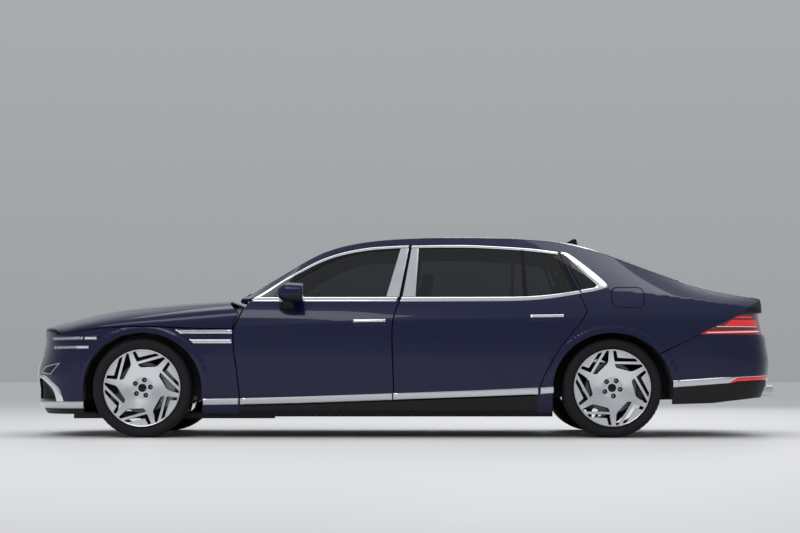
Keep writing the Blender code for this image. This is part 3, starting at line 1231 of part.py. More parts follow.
def build_all():
    clean_scene()
    build_doors()
    build_side()
    build_roof()
    build_hood()
    build_lid()
    build_nose()
    build_tail()
    build_fender()
    moving = [build_knuckle("knuckle_left", -1)]
    for front, place in ((True, "front"), (False, "rear")):
        moving += [build_tyre(f"tyre_{place}_left", front, -1), build_wheel(f"wheel_{place}_left", front, -1)]
    for item in moving:
        mirrored(item, item.name.replace("left", "right"))
    build_front_subframe()
    build_rear_axle()
    sill = build_sills()
    mirrored(sill, "sill_right")
    build_floor()
    build_dashboard()
    build_steering_wheel()
    for label, side in (("left", -1), ("right", 1)):
        build_seat(f"seat_front_{label}", -0.28, side * 0.37, 0.25, 0.20, FLOOR_LEVEL + SEAT_GAP, 0.275)
    build_seat("seat_rear", 0.90, 0.0, 0.55, 0.06, SEAT_STEP + SEAT_GAP, 0.165)
    for item in bpy.data.objects:
        item.data.name = item.name


build_all()
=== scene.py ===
import math
import bmesh
import bpy
import numpy as np
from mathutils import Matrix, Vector
from mathutils.geometry import delaunay_2d_cdt


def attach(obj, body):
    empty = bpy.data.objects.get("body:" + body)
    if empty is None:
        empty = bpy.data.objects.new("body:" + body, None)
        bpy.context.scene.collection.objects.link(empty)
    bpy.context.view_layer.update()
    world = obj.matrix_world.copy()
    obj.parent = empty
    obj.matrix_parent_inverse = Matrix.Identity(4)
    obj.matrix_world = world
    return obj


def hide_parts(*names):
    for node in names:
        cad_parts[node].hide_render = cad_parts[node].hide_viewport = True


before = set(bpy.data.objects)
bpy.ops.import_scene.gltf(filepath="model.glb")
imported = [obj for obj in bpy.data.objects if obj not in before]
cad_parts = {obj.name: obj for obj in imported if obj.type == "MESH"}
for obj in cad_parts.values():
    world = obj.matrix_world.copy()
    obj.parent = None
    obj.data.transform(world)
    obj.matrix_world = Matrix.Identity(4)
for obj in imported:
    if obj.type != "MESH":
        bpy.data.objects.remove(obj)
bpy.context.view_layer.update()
frontAxle, rearAxle, tyreRadius = -1.8625, 1.5075, 0.356
archRadius, archTop = 0.428, 0.752

print("finishes")


class Link:  # one socket of a material, which adds Math nodes when it is used in a sum
    def __init__(self, finish, socket):
        self.finish, self.socket = finish, socket

    def maths(self, operation, first, *rest):
        return self.finish.add("ShaderNodeMath", {"operation": operation}, [first, *rest])

    def __add__(self, other):
        return self.maths("ADD", self, other)

    def __sub__(self, other):
        return self.maths("SUBTRACT", self, other)

    def __rsub__(self, other):
        return self.maths("SUBTRACT", other, self)

    def __mul__(self, other):
        return self.maths("MULTIPLY", self, other)

    def __truediv__(self, other):
        return self.maths("DIVIDE", self, other)

    def __pow__(self, other):
        return self.maths("POWER", self, other)

    def sine(self):
        return self.maths("SINE", self)

    def size(self):
        return self.maths("ABSOLUTE", self)

    def above(self, other):
        return self.maths("GREATER_THAN", self, other)

    __radd__, __rmul__ = __add__, __mul__


class Finish:  # one Principled material and the nodes that feed it
    def __init__(self, name, colour, roughness, metallic=0.0, **fixed):
        self.material = bpy.data.materials.new(name)
        self.material.use_nodes = True
        self.tree = self.material.node_tree
        self.shader = self.tree.nodes["Principled BSDF"]
        self.colour = (*colour, 1.0)
        for socket, value in {"Base Color": self.colour, "Roughness": roughness,
                              "Metallic": metallic}.items():
            self.shader.inputs[socket].default_value = value
        for socket, value in fixed.items():
            self.shader.inputs[socket.replace("_", " ")].default_value = value

    # A node of any kind: its settings first, then the values or links of its sockets
    def add(self, kind, settings=None, inputs=None, output=0):
        node = self.tree.nodes.new(kind)
        for key, value in (settings or {}).items():
            if key == "stops":
                ramp = node.color_ramp.elements
                while len(ramp) < len(value):
                    ramp.new(0.5)
                for stop, (place, tint) in zip(ramp, value):
                    stop.position, stop.color = place, tint
            else:
                setattr(node, key, value)
        pairs = inputs.items() if isinstance(inputs, dict) else enumerate(inputs or [])
        for key, value in pairs:
            if isinstance(value, Link):
                self.tree.links.new(value.socket, node.inputs[key])
            else:
                node.inputs[key].default_value = value
        return Link(self, node.outputs[output])

    def place(self, scale=(1, 1, 1), shift=(0, 0, 0)):
        coords = self.add("ShaderNodeTexCoord", output="Object")
        return self.add("ShaderNodeMapping", {}, {"Vector": coords, "Scale": scale, "Location": shift})

    def axes(self, vector):
        parts = self.add("ShaderNodeSeparateXYZ", {}, [vector])
        return [parts, *(Link(self, parts.socket.node.outputs[k]) for k in (1, 2))]

    def noise(self, scale, detail=3.0, vector=None, roughness=0.5):
        return self.add("ShaderNodeTexNoise", {},
                        {"Vector": vector or self.place(), "Scale": scale, "Detail": detail,
                         "Roughness": roughness})

    def blend(self, factor, dark, light):
        return self.add("ShaderNodeMix", {"data_type": "RGBA"}, {"Factor": factor, 6: dark, 7: light},
                        output=2)

    def feed(self, socket, link):
        self.tree.links.new(link.socket, self.shader.inputs[socket])

    def bump(self, height, strength, distance):
        self.feed("Normal", self.add("ShaderNodeBump", {},
                                     {"Strength": strength, "Distance": distance, "Height": height}))

    # Colour and roughness varied by one broad noise
    def vary(self, scale, shade=0.12, rough=0.05, vector=None):
        grain = self.noise(scale, 4.0, vector)
        low = tuple(c * (1 - shade) for c in self.colour[:3]) + (1.0,)
        high = tuple(min(1.0, c * (1 + shade)) for c in self.colour[:3]) + (1.0,)
        self.feed("Base Color", self.blend(grain, low, high))
        middle = self.shader.inputs["Roughness"].default_value
        self.feed("Roughness", grain * (2 * rough) + (middle - rough))
        return grain


def makePaint():
    finish = Finish("navyPaint", (0.0042, 0.0056, 0.036), 0.34, 0.10, Coat_Roughness=0.02, Coat_Weight=0.9,
                    Coat_IOR=1.35, Specular_IOR_Level=0.15)
    flakes = finish.add("ShaderNodeTexVoronoi", {}, {"Vector": finish.place(), "Scale": 2600.0},
                        output="Color")
    sparkle = finish.axes(flakes)[0] ** 6
    finish.feed("Base Color", finish.blend(sparkle * 0.3, finish.colour, (0.04, 0.055, 0.20, 1.0)))
    finish.feed("Roughness", finish.noise(9.0, 2.0) * 0.06 + 0.27)
    return finish.material


def makeChrome(name, colour, roughness):
    finish = Finish(name, colour, roughness, 1.0)
    finish.vary(14.0, 0.03, 0.02)
    return finish.material


def makePlain(name, colour, roughness, scale=30.0, shade=0.12, rough=0.05, bump=0.0, grain=900.0,
              metallic=0.0, **fixed):
    finish = Finish(name, colour, roughness, metallic, **fixed)
    finish.vary(scale, shade, rough)
    if bump:
        finish.bump(finish.noise(grain, 3.0), bump, 0.001)
    return finish.material


def makeGlass(name, colour):
    finish = Finish(name, colour, 0.02, 0.0, Transmission_Weight=1.0, IOR=1.45)
    finish.feed("Roughness", finish.noise(6.0, 2.0) * 0.02 + 0.005)
    return finish.material


def makeLeather(name, colour):
    finish = Finish(name, colour, 0.50, 0.0, Sheen_Weight=0.1)
    finish.vary(24.0, 0.18, 0.07)
    pores = finish.add("ShaderNodeTexVoronoi", {"feature": "DISTANCE_TO_EDGE"},
                       {"Vector": finish.place(), "Scale": 420.0})
    finish.bump(pores + finish.noise(60.0, 3.0) * 0.5, 0.35, 0.0012)
    return finish.material


# Machined face: fine rings about the wheel's centre, which lies on one axle
def makeAlloy(name, axle):
    finish = Finish(name, (0.78, 0.79, 0.82), 0.20, 1.0)
    x, y, z = finish.axes(finish.place(shift=(-axle, 0, -tyreRadius)))
    radius = (x * x + z * z) ** 0.5
    rings = (radius * 2600.0).sine()
    finish.bump(rings, 0.12, 0.0004)
    finish.feed("Roughness", finish.noise(12.0, 3.0) * 0.10 + 0.15)
    return finish.material


def makeTyreRubber(name, axle):
    finish = Finish(name, (0.010, 0.010, 0.011), 0.72, Specular_IOR_Level=0.25)
    x, y, z = finish.axes(finish.place(shift=(-axle, 0, -tyreRadius)))
    radius = (x * x + z * z) ** 0.5
    rings = (radius * 1500.0).sine().above(0.75) * (radius.above(0.300)) * (1 - radius.above(0.330))
    grain = finish.vary(20.0, 0.25, 0.08)
    finish.bump(rings + grain * 0.4, 0.35, 0.0006)
    return finish.material


def makeLens(name, colour, glow):
    finish = Finish(name, colour, 0.08, 0.0, Coat_Weight=1.0, Coat_Roughness=0.02)
    finish.shader.inputs["Emission Color"].default_value = (*colour, 1.0)
    finish.shader.inputs["Emission Strength"].default_value = glow
    x, y, z = finish.axes(finish.place())
    ribs = (z * 1400.0).sine() * 0.5 + (x * 900.0 + y * 900.0).sine() * 0.5
    finish.bump(ribs, 0.25, 0.0008)
    return finish.material


def makeWood():
    finish = Finish("openPoreWood", (0.10, 0.055, 0.03), 0.38, 0.0, Coat_Weight=0.3)
    grain = finish.noise(9.0, 8.0, finish.place((1.5, 12, 12)), 0.7)
    finish.feed("Base Color", finish.blend(grain, (0.045, 0.022, 0.012, 1.0), (0.17, 0.095, 0.05, 1.0)))
    finish.bump(grain, 0.2, 0.0006)
    return finish.material


paint = makePaint()
chrome = makeChrome("brightTrim", (0.80, 0.81, 0.83), 0.12)
satin = makeChrome("satinTrim", (0.66, 0.67, 0.69), 0.24)
darkChrome = makeChrome("darkChrome", (0.20, 0.20, 0.21), 0.22)
glossBlack = makePlain("pianoBlack", (0.006, 0.006, 0.007), 0.10, Coat_Weight=0.15, Specular_IOR_Level=0.15)
blackPlastic = makePlain("grainedPlastic", (0.009, 0.009, 0.010), 0.55, bump=0.25, Specular_IOR_Level=0.3)
chassisSteel = makePlain("coatedSteel", (0.055, 0.055, 0.058), 0.50, 8.0, 0.3, 0.12, 0.3, 140.0, metallic=0.6)
castMetal = makePlain("castAlloy", (0.34, 0.34, 0.35), 0.45, 12.0, 0.2, 0.10, 0.4, 300.0, metallic=0.9)
discMetal = makePlain("discMetal", (0.16, 0.16, 0.165), 0.34, 20.0, 0.1, 0.08, metallic=1.0)
tintedGlass = makeGlass("tintedGlass", (0.16, 0.175, 0.19))
screenGlass = makeGlass("screenGlass", (0.50, 0.55, 0.55))
lampGlass = makeGlass("lampGlass", (0.93, 0.95, 0.97))
tanLeather = makeLeather("seatLeather", (0.085, 0.060, 0.048))
darkLeather = makeLeather("dashLeather", (0.022, 0.021, 0.022))
carpet = makePlain("carpet", (0.020, 0.019, 0.020), 0.95, 60.0, 0.3, 0.03, 0.8, 1400.0)
headlining = makePlain("headlining", (0.16, 0.145, 0.13), 0.9, 40.0, 0.1, 0.03, 0.5, 1600.0)
wood = makeWood()
redLens = makeLens("redLens", (0.62, 0.008, 0.012), 0.45)
darkRed = makeLens("darkRed", (0.17, 0.004, 0.006), 0.0)
whiteLens = makeLens("whiteLens", (0.82, 0.85, 0.90), 0.25)
frontAlloy, rearAlloy = makeAlloy("machinedFront", frontAxle), makeAlloy("machinedRear", rearAxle)
frontRubber, rearRubber = makeTyreRubber("rubberFront", frontAxle), makeTyreRubber("rubberRear", rearAxle)

print("body surface")


# Hermite curve through the points that doesn't overshoot, then a Gaussian blur along x
def softCurve(points, blur=0.0):
    xs, ys = np.array(points, float).T
    step, slope = np.diff(xs), np.diff(ys) / np.diff(xs)
    inner = np.where(slope[:-1] * slope[1:] > 0,
                     2 * slope[:-1] * slope[1:] / np.where(slope[:-1] + slope[1:] == 0, 1,
                                                           slope[:-1] + slope[1:]), 0)
    tangent = np.concatenate([slope[:1], inner, slope[-1:]])
    fine = np.linspace(xs[0] - 4 * blur, xs[-1] + 4 * blur, 3000)
    at = np.clip(np.searchsorted(xs, fine) - 1, 0, len(step) - 1)
    t = np.clip((fine - xs[at]) / step[at], 0.0, 1.0)
    level = ys[at + 1] * (3 * t**2 - 2 * t**3) + ys[at] * (1 - 3 * t**2 + 2 * t**3)
    level += (tangent[at] * (t - 2 * t**2 + t**3) + tangent[at + 1] * (t**3 - t**2)) * step[at]
    level += np.where(fine < xs[0], (fine - xs[0]) * slope[0], 0) + np.where(fine > xs[-1],
            (fine - xs[-1]) * slope[-1], 0)
    if blur:
        reach = int(3 * blur / (fine[1] - fine[0]))
        weight = np.exp(-0.5 * (np.arange(-reach, reach + 1) * (fine[1] - fine[0]) / blur) ** 2)
        padded = np.concatenate([2 * level[0] - level[reach:0:-1], level,
                                 2 * level[-1] - level[-2:-reach - 2:-1]])
        level = np.convolve(padded, weight / weight.sum(), "valid")
    return lambda x: np.interp(x, fine, level)


halfPlan = softCurve([(-2.40, 0.850), (-2.285, 0.893), (-2.10, 0.926), (-1.86, 0.944), (-1.50, 0.948),
                      (0.0, 0.948), (1.00, 0.955), (1.50, 0.965), (1.95, 0.957), (2.20, 0.932), (2.40, 0.890),
                      (2.52, 0.845), (2.61, 0.780), (2.70, 0.560)], 0.03)
sideDrop = softCurve([(0.15, 0.090), (0.20, 0.066), (0.26, 0.045), (0.32, 0.028), (0.45, 0.012),
                      (0.60, 0.002), (0.70, 0.000), (0.80, 0.002), (0.85, 0.006), (0.90, 0.020),
                      (0.95, 0.041), (0.985, 0.062), (1.01, 0.078), (1.07, 0.118)], 0.008)
shoulderLevel = softCurve([(-1.30, 1.000), (0.90, 1.000), (1.28, 1.045), (1.50, 1.055), (1.90, 1.020),
                           (2.30, 0.965), (2.66, 0.920)], 0.05)
cantLevel = softCurve([(-1.24, 0.972), (-1.135, 1.009), (-0.969, 1.113), (-0.825, 1.200), (-0.701, 1.278),
                       (-0.556, 1.350), (-0.402, 1.396), (-0.247, 1.424), (-0.041, 1.443), (0.30, 1.455),
                       (0.70, 1.452), (1.00, 1.438), (1.20, 1.412), (1.40, 1.362), (1.60, 1.292),
                       (1.80, 1.215), (2.00, 1.140), (2.12, 1.098), (2.30, 1.052), (2.50, 1.015),
                       (2.69, 0.985)], 0.03)
cantHalf = softCurve([(-1.24, 0.745), (-1.135, 0.725), (-0.825, 0.668), (-0.556, 0.630), (-0.247, 0.605),
                      (0.0, 0.598), (0.70, 0.592), (1.20, 0.588), (1.40, 0.592), (1.80, 0.618), (2.10, 0.655),
                      (2.30, 0.680), (2.50, 0.690), (2.69, 0.660)], 0.03)
centreLevel = softCurve([(-1.26, 0.985), (-1.22, 0.998), (-0.90, 1.178), (-0.60, 1.340), (-0.42, 1.424),
                         (-0.25, 1.456), (-0.017, 1.477), (0.218, 1.486), (0.40, 1.488), (0.687, 1.484),
                         (0.98, 1.470), (1.215, 1.450), (1.391, 1.415), (1.508, 1.372), (1.685, 1.311),
                         (1.823, 1.258), (2.035, 1.174), (2.200, 1.116), (2.390, 1.066), (2.556, 1.034),
                         (2.69, 1.006)], 0.015)
creaseLevel = softCurve([(-1.303, 0.780), (-0.634, 0.814), (-0.061, 0.837), (0.408, 0.850), (0.828, 0.8575),
                         (1.00, 0.8575), (1.30, 0.87), (1.40, 0.888), (2.37, 0.888)], 0.04)


def ease(low, high, value):
    t = np.clip((value - low) / (high - low), 0.0, 1.0)
    return t * t * (3 - 2 * t)


# The crease stands proud where the side turns over, and a band round each arch stands proud of the panel
def sideDetail(x, z):
    off = z - creaseLevel(x)
    along = ease(-1.50, -1.20, x) * (1 - ease(2.20, 2.42, x)) * (1 - 0.55 * ease(0.95, 1.25, x)
            * (1 - ease(1.30, 1.55, x)))
    proud = 0.0055 * np.exp((0.009 - np.hypot(off, 0.009)) / np.where(off > 0, 0.030, 0.080)) * along
    for axle in (frontAxle, rearAxle):
        rise = (archTop - tyreRadius) / archRadius
        from_arch = np.hypot(x - axle, (z - tyreRadius) / rise) - archRadius
        proud = proud + 0.0055 * (1 - ease(0.036, 0.058, from_arch)) * ease(0.22, 0.36, z)
    return proud - 0.0010


# Half width: plan less the drop below the shoulder, then straight up to the cant with a slight bulge
def halfWidth(x, z):
    shoulder, cant = shoulderLevel(x), cantLevel(x)
    atShoulder = halfPlan(x) - sideDrop(shoulder)
    climb = np.clip((z - shoulder) / np.maximum(cant - shoulder, 0.02), 0.0, 1.0)
    below = halfPlan(x) - sideDrop(np.minimum(z, shoulder))
    above = atShoulder + (cantHalf(x) - atShoulder) * climb + 0.048 * climb * (1 - climb)
    return np.where(z > shoulder, above, below)


def sideSurface(depth=0.0, detail=1.0):
    return lambda x, z: np.stack([x, depth - halfWidth(x, z) - detail * sideDetail(x, z), z], axis=-1)


# Roof line: level falls from the centre to the cant by the share across to the power 2.4
def topSurface(drop=0.0):
    def surface(x, s):
        share = s / 0.6
        level = cantLevel(x) + (centreLevel(x) - cantLevel(x)) * (1 - np.abs(share) ** 2.4)
        return np.stack([x, cantHalf(x) * share, level - drop], axis=-1)
    return surface


print("mesh makers")


# Mesh from points, triangles or quads, a material index for each face and a normal for each corner
def makeMesh(name, points, faces, materials, index=None, normals=None, smooth=True):
    mesh = bpy.data.meshes.new(name)
    mesh.from_pydata(np.asarray(points, float), [], [tuple(f) for f in np.asarray(faces).tolist()]
                     if not isinstance(faces, list) else faces)
    for item in materials:
        mesh.materials.append(item)
    if index is not None:
        mesh.polygons.foreach_set("material_index", np.asarray(index, np.int32))
    mesh.polygons.foreach_set("use_smooth", np.full(len(mesh.polygons), smooth))
    mesh.update()
    piece = bpy.data.objects.new(name, mesh)
    bpy.context.scene.collection.objects.link(piece)
    if normals is not None:
        mesh.normals_split_custom_set(np.asarray(normals, float))
    return piece


def unit(vectors):
    return vectors / np.maximum(np.linalg.norm(vectors, axis=-1, keepdims=True), 1e-12)


# Points added along a closed outline so that none is further than the spacing from the next
def dense(outline, spacing):
    outline = np.array(outline, float)
    following = np.roll(outline, -1, axis=0)
    runs = []
    for a, b in zip(outline, following):
        count = max(1, int(np.ceil(np.linalg.norm(b - a) / spacing)))
        runs.append(a + (b - a) * (np.arange(count) / count)[:, None])
    return np.concatenate(runs)


def isInside(points, loops):
    inside = np.zeros(len(points), bool)
    for loop in loops:
        x0, z0 = loop.T
        x1, z1 = np.roll(loop, -1, axis=0).T
        for a, b, c, d in zip(x0, z0, x1, z1):
            crosses = (b > points[:, 1]) != (d > points[:, 1])
            inside ^= crosses & (points[:, 0] < (c - a) * (points[:, 1] - b) / (d - b + 1e-15) + a)
    return inside


def outward(loop):
    before, after = loop - np.roll(loop, 1, axis=0), np.roll(loop, -1, axis=0) - loop
    n1, n2 = unit(np.stack([before[:, 1], -before[:, 0]], -1)), unit(np.stack([after[:, 1], -after[:, 0]],
            -1))
    middle = unit(n1 + n2)
    return middle / np.maximum((middle * n1).sum(-1, keepdims=True), 0.5)


def loopArea(loop):
    x, z = np.array(loop, float).T
    return 0.5 * np.sum(x * np.roll(z, -1) - np.roll(x, -1) * z)


# Sheet on a surface of two parameters, trimmed to loops of the parameters, with rolled edges and a wall
# of the given thickness. Its corners carry the surface's own normals.
def trimmedSheet(surface, loops, spacing, thickness, roll=0.0016):
    spacing = np.ones(2) * spacing
    prepared = []
    for k, loop in enumerate(loops):
        loop = dense(np.array(loop) / spacing, 0.6) * spacing
        if (loopArea(loop) > 0) != (k == 0):
            loop = loop[::-1]
        prepared.append(loop)
    sideways = [outward(loop) for loop in prepared]
    shrunk = [loop - side * roll for loop, side in zip(prepared, sideways)]
    low, high = prepared[0].min(0), prepared[0].max(0)
    us, vs = np.arange(low[0], high[0], spacing[0]), np.arange(low[1], high[1], spacing[1])
    grid = np.stack(np.meshgrid(us, vs, indexing="ij"), -1).reshape(-1, 2)
    grid = grid[isInside(grid, shrunk)]
    edge = np.concatenate(shrunk)
    if len(grid):
        near = np.full(len(grid), np.inf)
        for start in range(0, len(edge), 200):
            gap = np.linalg.norm((grid[:, None] - edge[None, start:start + 200]) / spacing, axis=-1).min(1)
            near = np.minimum(near, gap)
        grid = grid[near > 0.45]
    counts = [len(loop) for loop in shrunk]
    starts = np.concatenate([[0], np.cumsum(counts)[:-1]])
    edges = [(s + i, s + (i + 1) % c) for s, c in zip(starts.tolist(), counts) for i in range(c)]
    flat = np.concatenate([edge, grid]) / spacing
    result = delaunay_2d_cdt([Vector(p) for p in flat.tolist()], edges, [], 0, 1e-7)
    flat2, triangles = np.array([tuple(p) for p in result[0]]) * spacing, np.array(result[2])
    centre = flat2[triangles].mean(1)
    triangles = triangles[isInside(centre, shrunk)]
    a, b, c = flat2[triangles].transpose(1, 0, 2)
    twice = (b[:, 0] - a[:, 0]) * (c[:, 1] - a[:, 1]) - (b[:, 1] - a[:, 1]) * (c[:, 0] - a[:, 0])
    triangles[twice < 0] = triangles[twice < 0][:, ::-1]
    ring, sides = np.concatenate(prepared), np.concatenate(sideways)
    n = len(edge)
    h = 1e-4

    def frameOf(uv):
        u, v = uv.T
        point = surface(u, v)
        du, dv = (surface(u + h, v) - surface(u - h, v)) / (2 * h), (surface(u, v + h)
                - surface(u, v - h)) / (2 * h)
        return point, unit(np.cross(du, dv)), du, dv

    face, normal, _, _ = frameOf(flat2)
    rim, rimNormal, du, dv = frameOf(ring)
    aside = unit(du * sides[:, :1] + dv * sides[:, 1:])
    sign = 1 if (normal * (face - [0, 0, 0.5])).sum() > 0 else -1
    normal, rimNormal = normal * sign, rimNormal * sign
    depth = thickness(*flat2.T)[:, None] if callable(thickness) else thickness
    rimDepth = thickness(*ring.T)[:, None] if callable(thickness) else thickness
    below = face - normal * depth
    below[:n] = rim - rimNormal * rimDepth
    points = np.concatenate([face, rim - rimNormal * roll, below])
    total = len(face)
    step = np.concatenate([s + (np.arange(c) + 1) % c for s, c in zip(starts, counts)])
    here = np.arange(n)
    upper = np.stack([here, total + here, total + step, step], -1)
    lower = np.stack([total + here, total + n + here, total + n + step, total + step], -1)
    faces = triangles.tolist() + upper.tolist() + lower.tolist() + (triangles[:, ::-1] + total + n).tolist()
    upperNormals = np.stack([normal[here], aside[here], aside[step], normal[step]], 1)
    lowerNormals = np.stack([aside[here], aside[here], aside[step], aside[step]], 1)
    normals = np.concatenate([normal[triangles].reshape(-1, 3), upperNormals.reshape(-1, 3),
                              lowerNormals.reshape(-1, 3), -normal[triangles[:, ::-1]].reshape(-1, 3)])
    index = np.concatenate([np.zeros(len(triangles)), np.zeros(n), np.ones(n), np.full(len(triangles), 2)])
    if sign < 0:
        faces = [f[::-1] for f in faces]
        normals = reverseCorners(normals, faces)
    return points, faces, index, normals


def reverseCorners(normals, faces):
    lengths = np.array([len(f) for f in faces])
    ends = np.cumsum(lengths)
    order = np.concatenate([np.arange(e - 1, e - l - 1, -1) for e, l in zip(ends, lengths)])
    return normals[order]


# Grid of points as a slab: rolled nowhere, walls on its four sides unless it is closed round
def gridSlab(outer, inner, closed=False):
    rows, columns = outer.shape[:2]
    points = np.concatenate([outer.reshape(-1, 3), inner.reshape(-1, 3)])
    i, j = np.meshgrid(np.arange(rows - 1), np.arange(columns if closed else columns - 1), indexing="ij")
    k = (j + 1) % columns
    a, b, c, d = (i * columns + j).ravel(), ((i + 1) * columns + j).ravel(), ((i + 1) * columns
            + k).ravel(), (i * columns + k).ravel()
    count = rows * columns
    top = np.stack([a, b, c, d], -1)
    faces = [top, top[:, ::-1] + count]
    for edge in ((i[0] * 0, j[0]), (i[0] * 0 + rows - 1, j[0])):
        p, q = edge[0] * columns + edge[1], edge[0] * columns + (edge[1] + 1) % columns
        wall = np.stack([p, p + count, q + count, q], -1)
        faces.append(wall if edge[0][0] else wall[:, ::-1])
    if not closed:
        for column in (0, columns - 1):
            p = np.arange(rows - 1) * columns + column
            wall = np.stack([p, p + columns, p + columns + count, p + count], -1)
            faces.append(wall[:, ::-1] if column == 0 else wall)
    return points, np.concatenate(faces)


# Normals of a grid by central differences
def gridNormals(grid):
    return unit(np.cross(np.gradient(grid, axis=0), np.gradient(grid, axis=1)))


def mendNormals(piece):
    work = bmesh.new()
    work.from_mesh(piece.data)
    bmesh.ops.remove_doubles(work, verts=work.verts, dist=1e-6)
    bmesh.ops.recalc_face_normals(work, faces=work.faces)
    work.to_mesh(piece.data)
    work.free()


def addBevel(piece, width, segments=2, angle=35):
    bevel = piece.modifiers.new("edges", "BEVEL")
    bevel.width, bevel.segments, bevel.limit_method, bevel.angle_limit = width, segments, "ANGLE", math.radians(angle)
    bevel.harden_normals = False


def sharpen(piece, angle=35):
    piece.data.shade_smooth()
    piece.data.set_sharp_from_angle(angle=math.radians(angle))


sideNames = {-1: "Left", 1: "Right"}


def flip(points, side):
    points = np.array(points, float)
    points[..., 1] *= -side
    return points


# A piece of the left side and its twin on the right: the maker gives points, faces, index and normals
def bothSides(name, made, materials, body, node=None, sides=(-1, 1), smooth=True):
    points, faces, index, normals = made
    pieces = []
    for side in sides:
        if side < 0:
            piece = makeMesh(name + "Left", points, faces, materials, index, normals, smooth)
        else:
            turned = [tuple(f)[::-1] for f in faces]
            twin = None if normals is None else flip(reverseCorners(normals, faces), 1)
            piece = makeMesh(name + "Right", flip(points, 1), turned, materials, index, twin, smooth)
        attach(piece, body.replace("*", sideNames[side].lower()))
        if node:
            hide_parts(node.replace("*", sideNames[side].lower()))
        pieces.append(piece)
    return pieces


# Smooth line through the points, by Catmull-Rom pieces
def curved(points, count=8):
    points = np.array(points, float)
    ends = np.concatenate([[2 * points[0] - points[1]], points, [2 * points[-1] - points[-2]]])
    t = (np.arange(count) / count)[None, :, None]
    a, b, c, d = (ends[k:len(ends) - 3 + k, None] for k in range(4))
    line = 0.5 * (2 * b + (c - a) * t + (2 * a - 5 * b + 4 * c - d) * t**2 + (3 * b - a - 3 * c + d) * t**3)
    return np.concatenate([line.reshape(-1, points.shape[1]), points[-1:]])


# Closed outline from runs of points, each run moved inwards by its own distance
def shrink(runs):
    corners = np.array([p for points, _ in runs for p in list(points)[:-1]], float)
    moves = np.array([gap for points, gap in runs for _ in list(points)[:-1]])
    before, after = corners - np.roll(corners, 1, 0), np.roll(corners, -1, 0) - corners
    n1 = unit(np.stack([-before[:, 1], before[:, 0]], -1))
    n2 = unit(np.stack([-after[:, 1], after[:, 0]], -1))
    d1, d2 = np.roll(moves, 1)[:, None], moves[:, None]
    turn = n1[:, :1] * n2[:, 1:] - n1[:, 1:] * n2[:, :1]
    solved = np.concatenate([d1 * n2[:, 1:] - d2 * n1[:, 1:], n1[:, :1] * d2 - n2[:, :1] * d1],
                            1) / np.where(np.abs(turn) < 0.08, 1, turn)
    return corners + np.where(np.abs(turn) < 0.08, (n1 + n2) / 2 * (d1 + d2) / 2, solved)


def rounded(box, radius, steps=8):
    x0, x1, z0, z1 = box
    turn = np.radians(np.linspace(0, 90, steps + 1))
    corners = [(x1 - radius, z0 + radius, -90), (x1 - radius, z1 - radius, 0), (x0 + radius, z1 - radius, 90),
               (x0 + radius, z0 + radius, 180)]
    return np.concatenate([np.stack([cx + radius * np.cos(turn + math.radians(a)),
                                     cz + radius * np.sin(turn + math.radians(a))], -1) for cx, cz,
                                     a in corners])


def paintAbove(pieces, level, slotIndex):
    for piece in pieces:
        mesh = piece.data
        centres = np.empty(len(mesh.polygons) * 3)
        mesh.polygons.foreach_get("center", centres)
        index = np.empty(len(mesh.polygons), np.int32)
        mesh.polygons.foreach_get("material_index", index)
        x, _, z = centres.reshape(-1, 3).T
        high = (z > level + np.interp(x, (0.80, 1.10, 1.30), (0.0, 0.020, 0.056))) & (index == 0)
        index[high] = slotIndex
        mesh.polygons.foreach_set("material_index", index)


print("side panels")

fenderLine = [(-1.160, 0.232), (-1.183, 0.465), (-1.200, 0.579), (-1.210, 0.675), (-1.208, 0.771),
              (-1.188, 0.819), (-1.155, 0.888), (-1.125, 0.945), (-1.095, 0.982)]
doorTop = [(-1.095, 0.982), (-0.861, 1.140), (-0.759, 1.202), (-0.605, 1.284), (-0.451, 1.340),
           (-0.245, 1.381), (-0.010, 1.397), (0.068, 1.398), (0.434, 1.4025), (0.658, 1.394), (0.949, 1.375),
           (1.151, 1.350)]
midLine = [(-0.054, 0.268), (-0.061, 0.400), (-0.070, 0.678), (-0.070, 0.771), (-0.061, 0.847),
           (-0.043, 0.914), (-0.018, 0.979), (0.068, 1.398)]
rearLine = [(0.976, 0.312), (1.017, 0.427), (1.070, 0.532), (1.134, 0.637), (1.217, 0.742), (1.291, 0.832),
            (1.333, 0.905), (1.278, 1.047), (1.151, 1.350)]
frontGlass = [(-0.960, 1.012), (-0.112, 1.012), (-0.012, 1.366), (-0.245, 1.352), (-0.400, 1.321),
              (-0.553, 1.259), (-0.718, 1.167), (-0.930, 1.032)]
rearGlass = [(0.098, 1.012), (0.880, 1.012), (1.243, 1.046), (1.130, 1.318), (1.085, 1.332), (0.908, 1.355),
             (0.658, 1.371), (0.434, 1.378), (0.124, 1.374)]
quarterGlass = [(1.300, 1.062), (1.385, 1.073), (1.404, 1.085), (1.400, 1.104), (1.319, 1.189),
                (1.240, 1.281), (1.214, 1.300)]
lampTop = [(2.135, 0.7475), (2.450, 0.885), (2.600, 0.897), (2.660, 0.897)]
panelSizes = {"doorGap": 0.0052, "midGap": 0.0035, "spacing": (0.026, 0.012), "flange": 0.008,
              "doorDepth": 0.112, "frameDepth": 0.043, "screenBand": 0.045, "bumperTop": 0.7365,
              "tailX": 2.616}

fenderCurve, midCurve, rearCurve = curved(fenderLine), np.concatenate([curved(midLine[:7]), [midLine[7]]]), \
    np.concatenate([curved(rearLine[:7]), [rearLine[7], rearLine[8]]])
topCurve = curved(doorTop)
topFront, topRear = topCurve[topCurve[:, 0] <= 0.0681], topCurve[topCurve[:, 0] >= 0.0679]


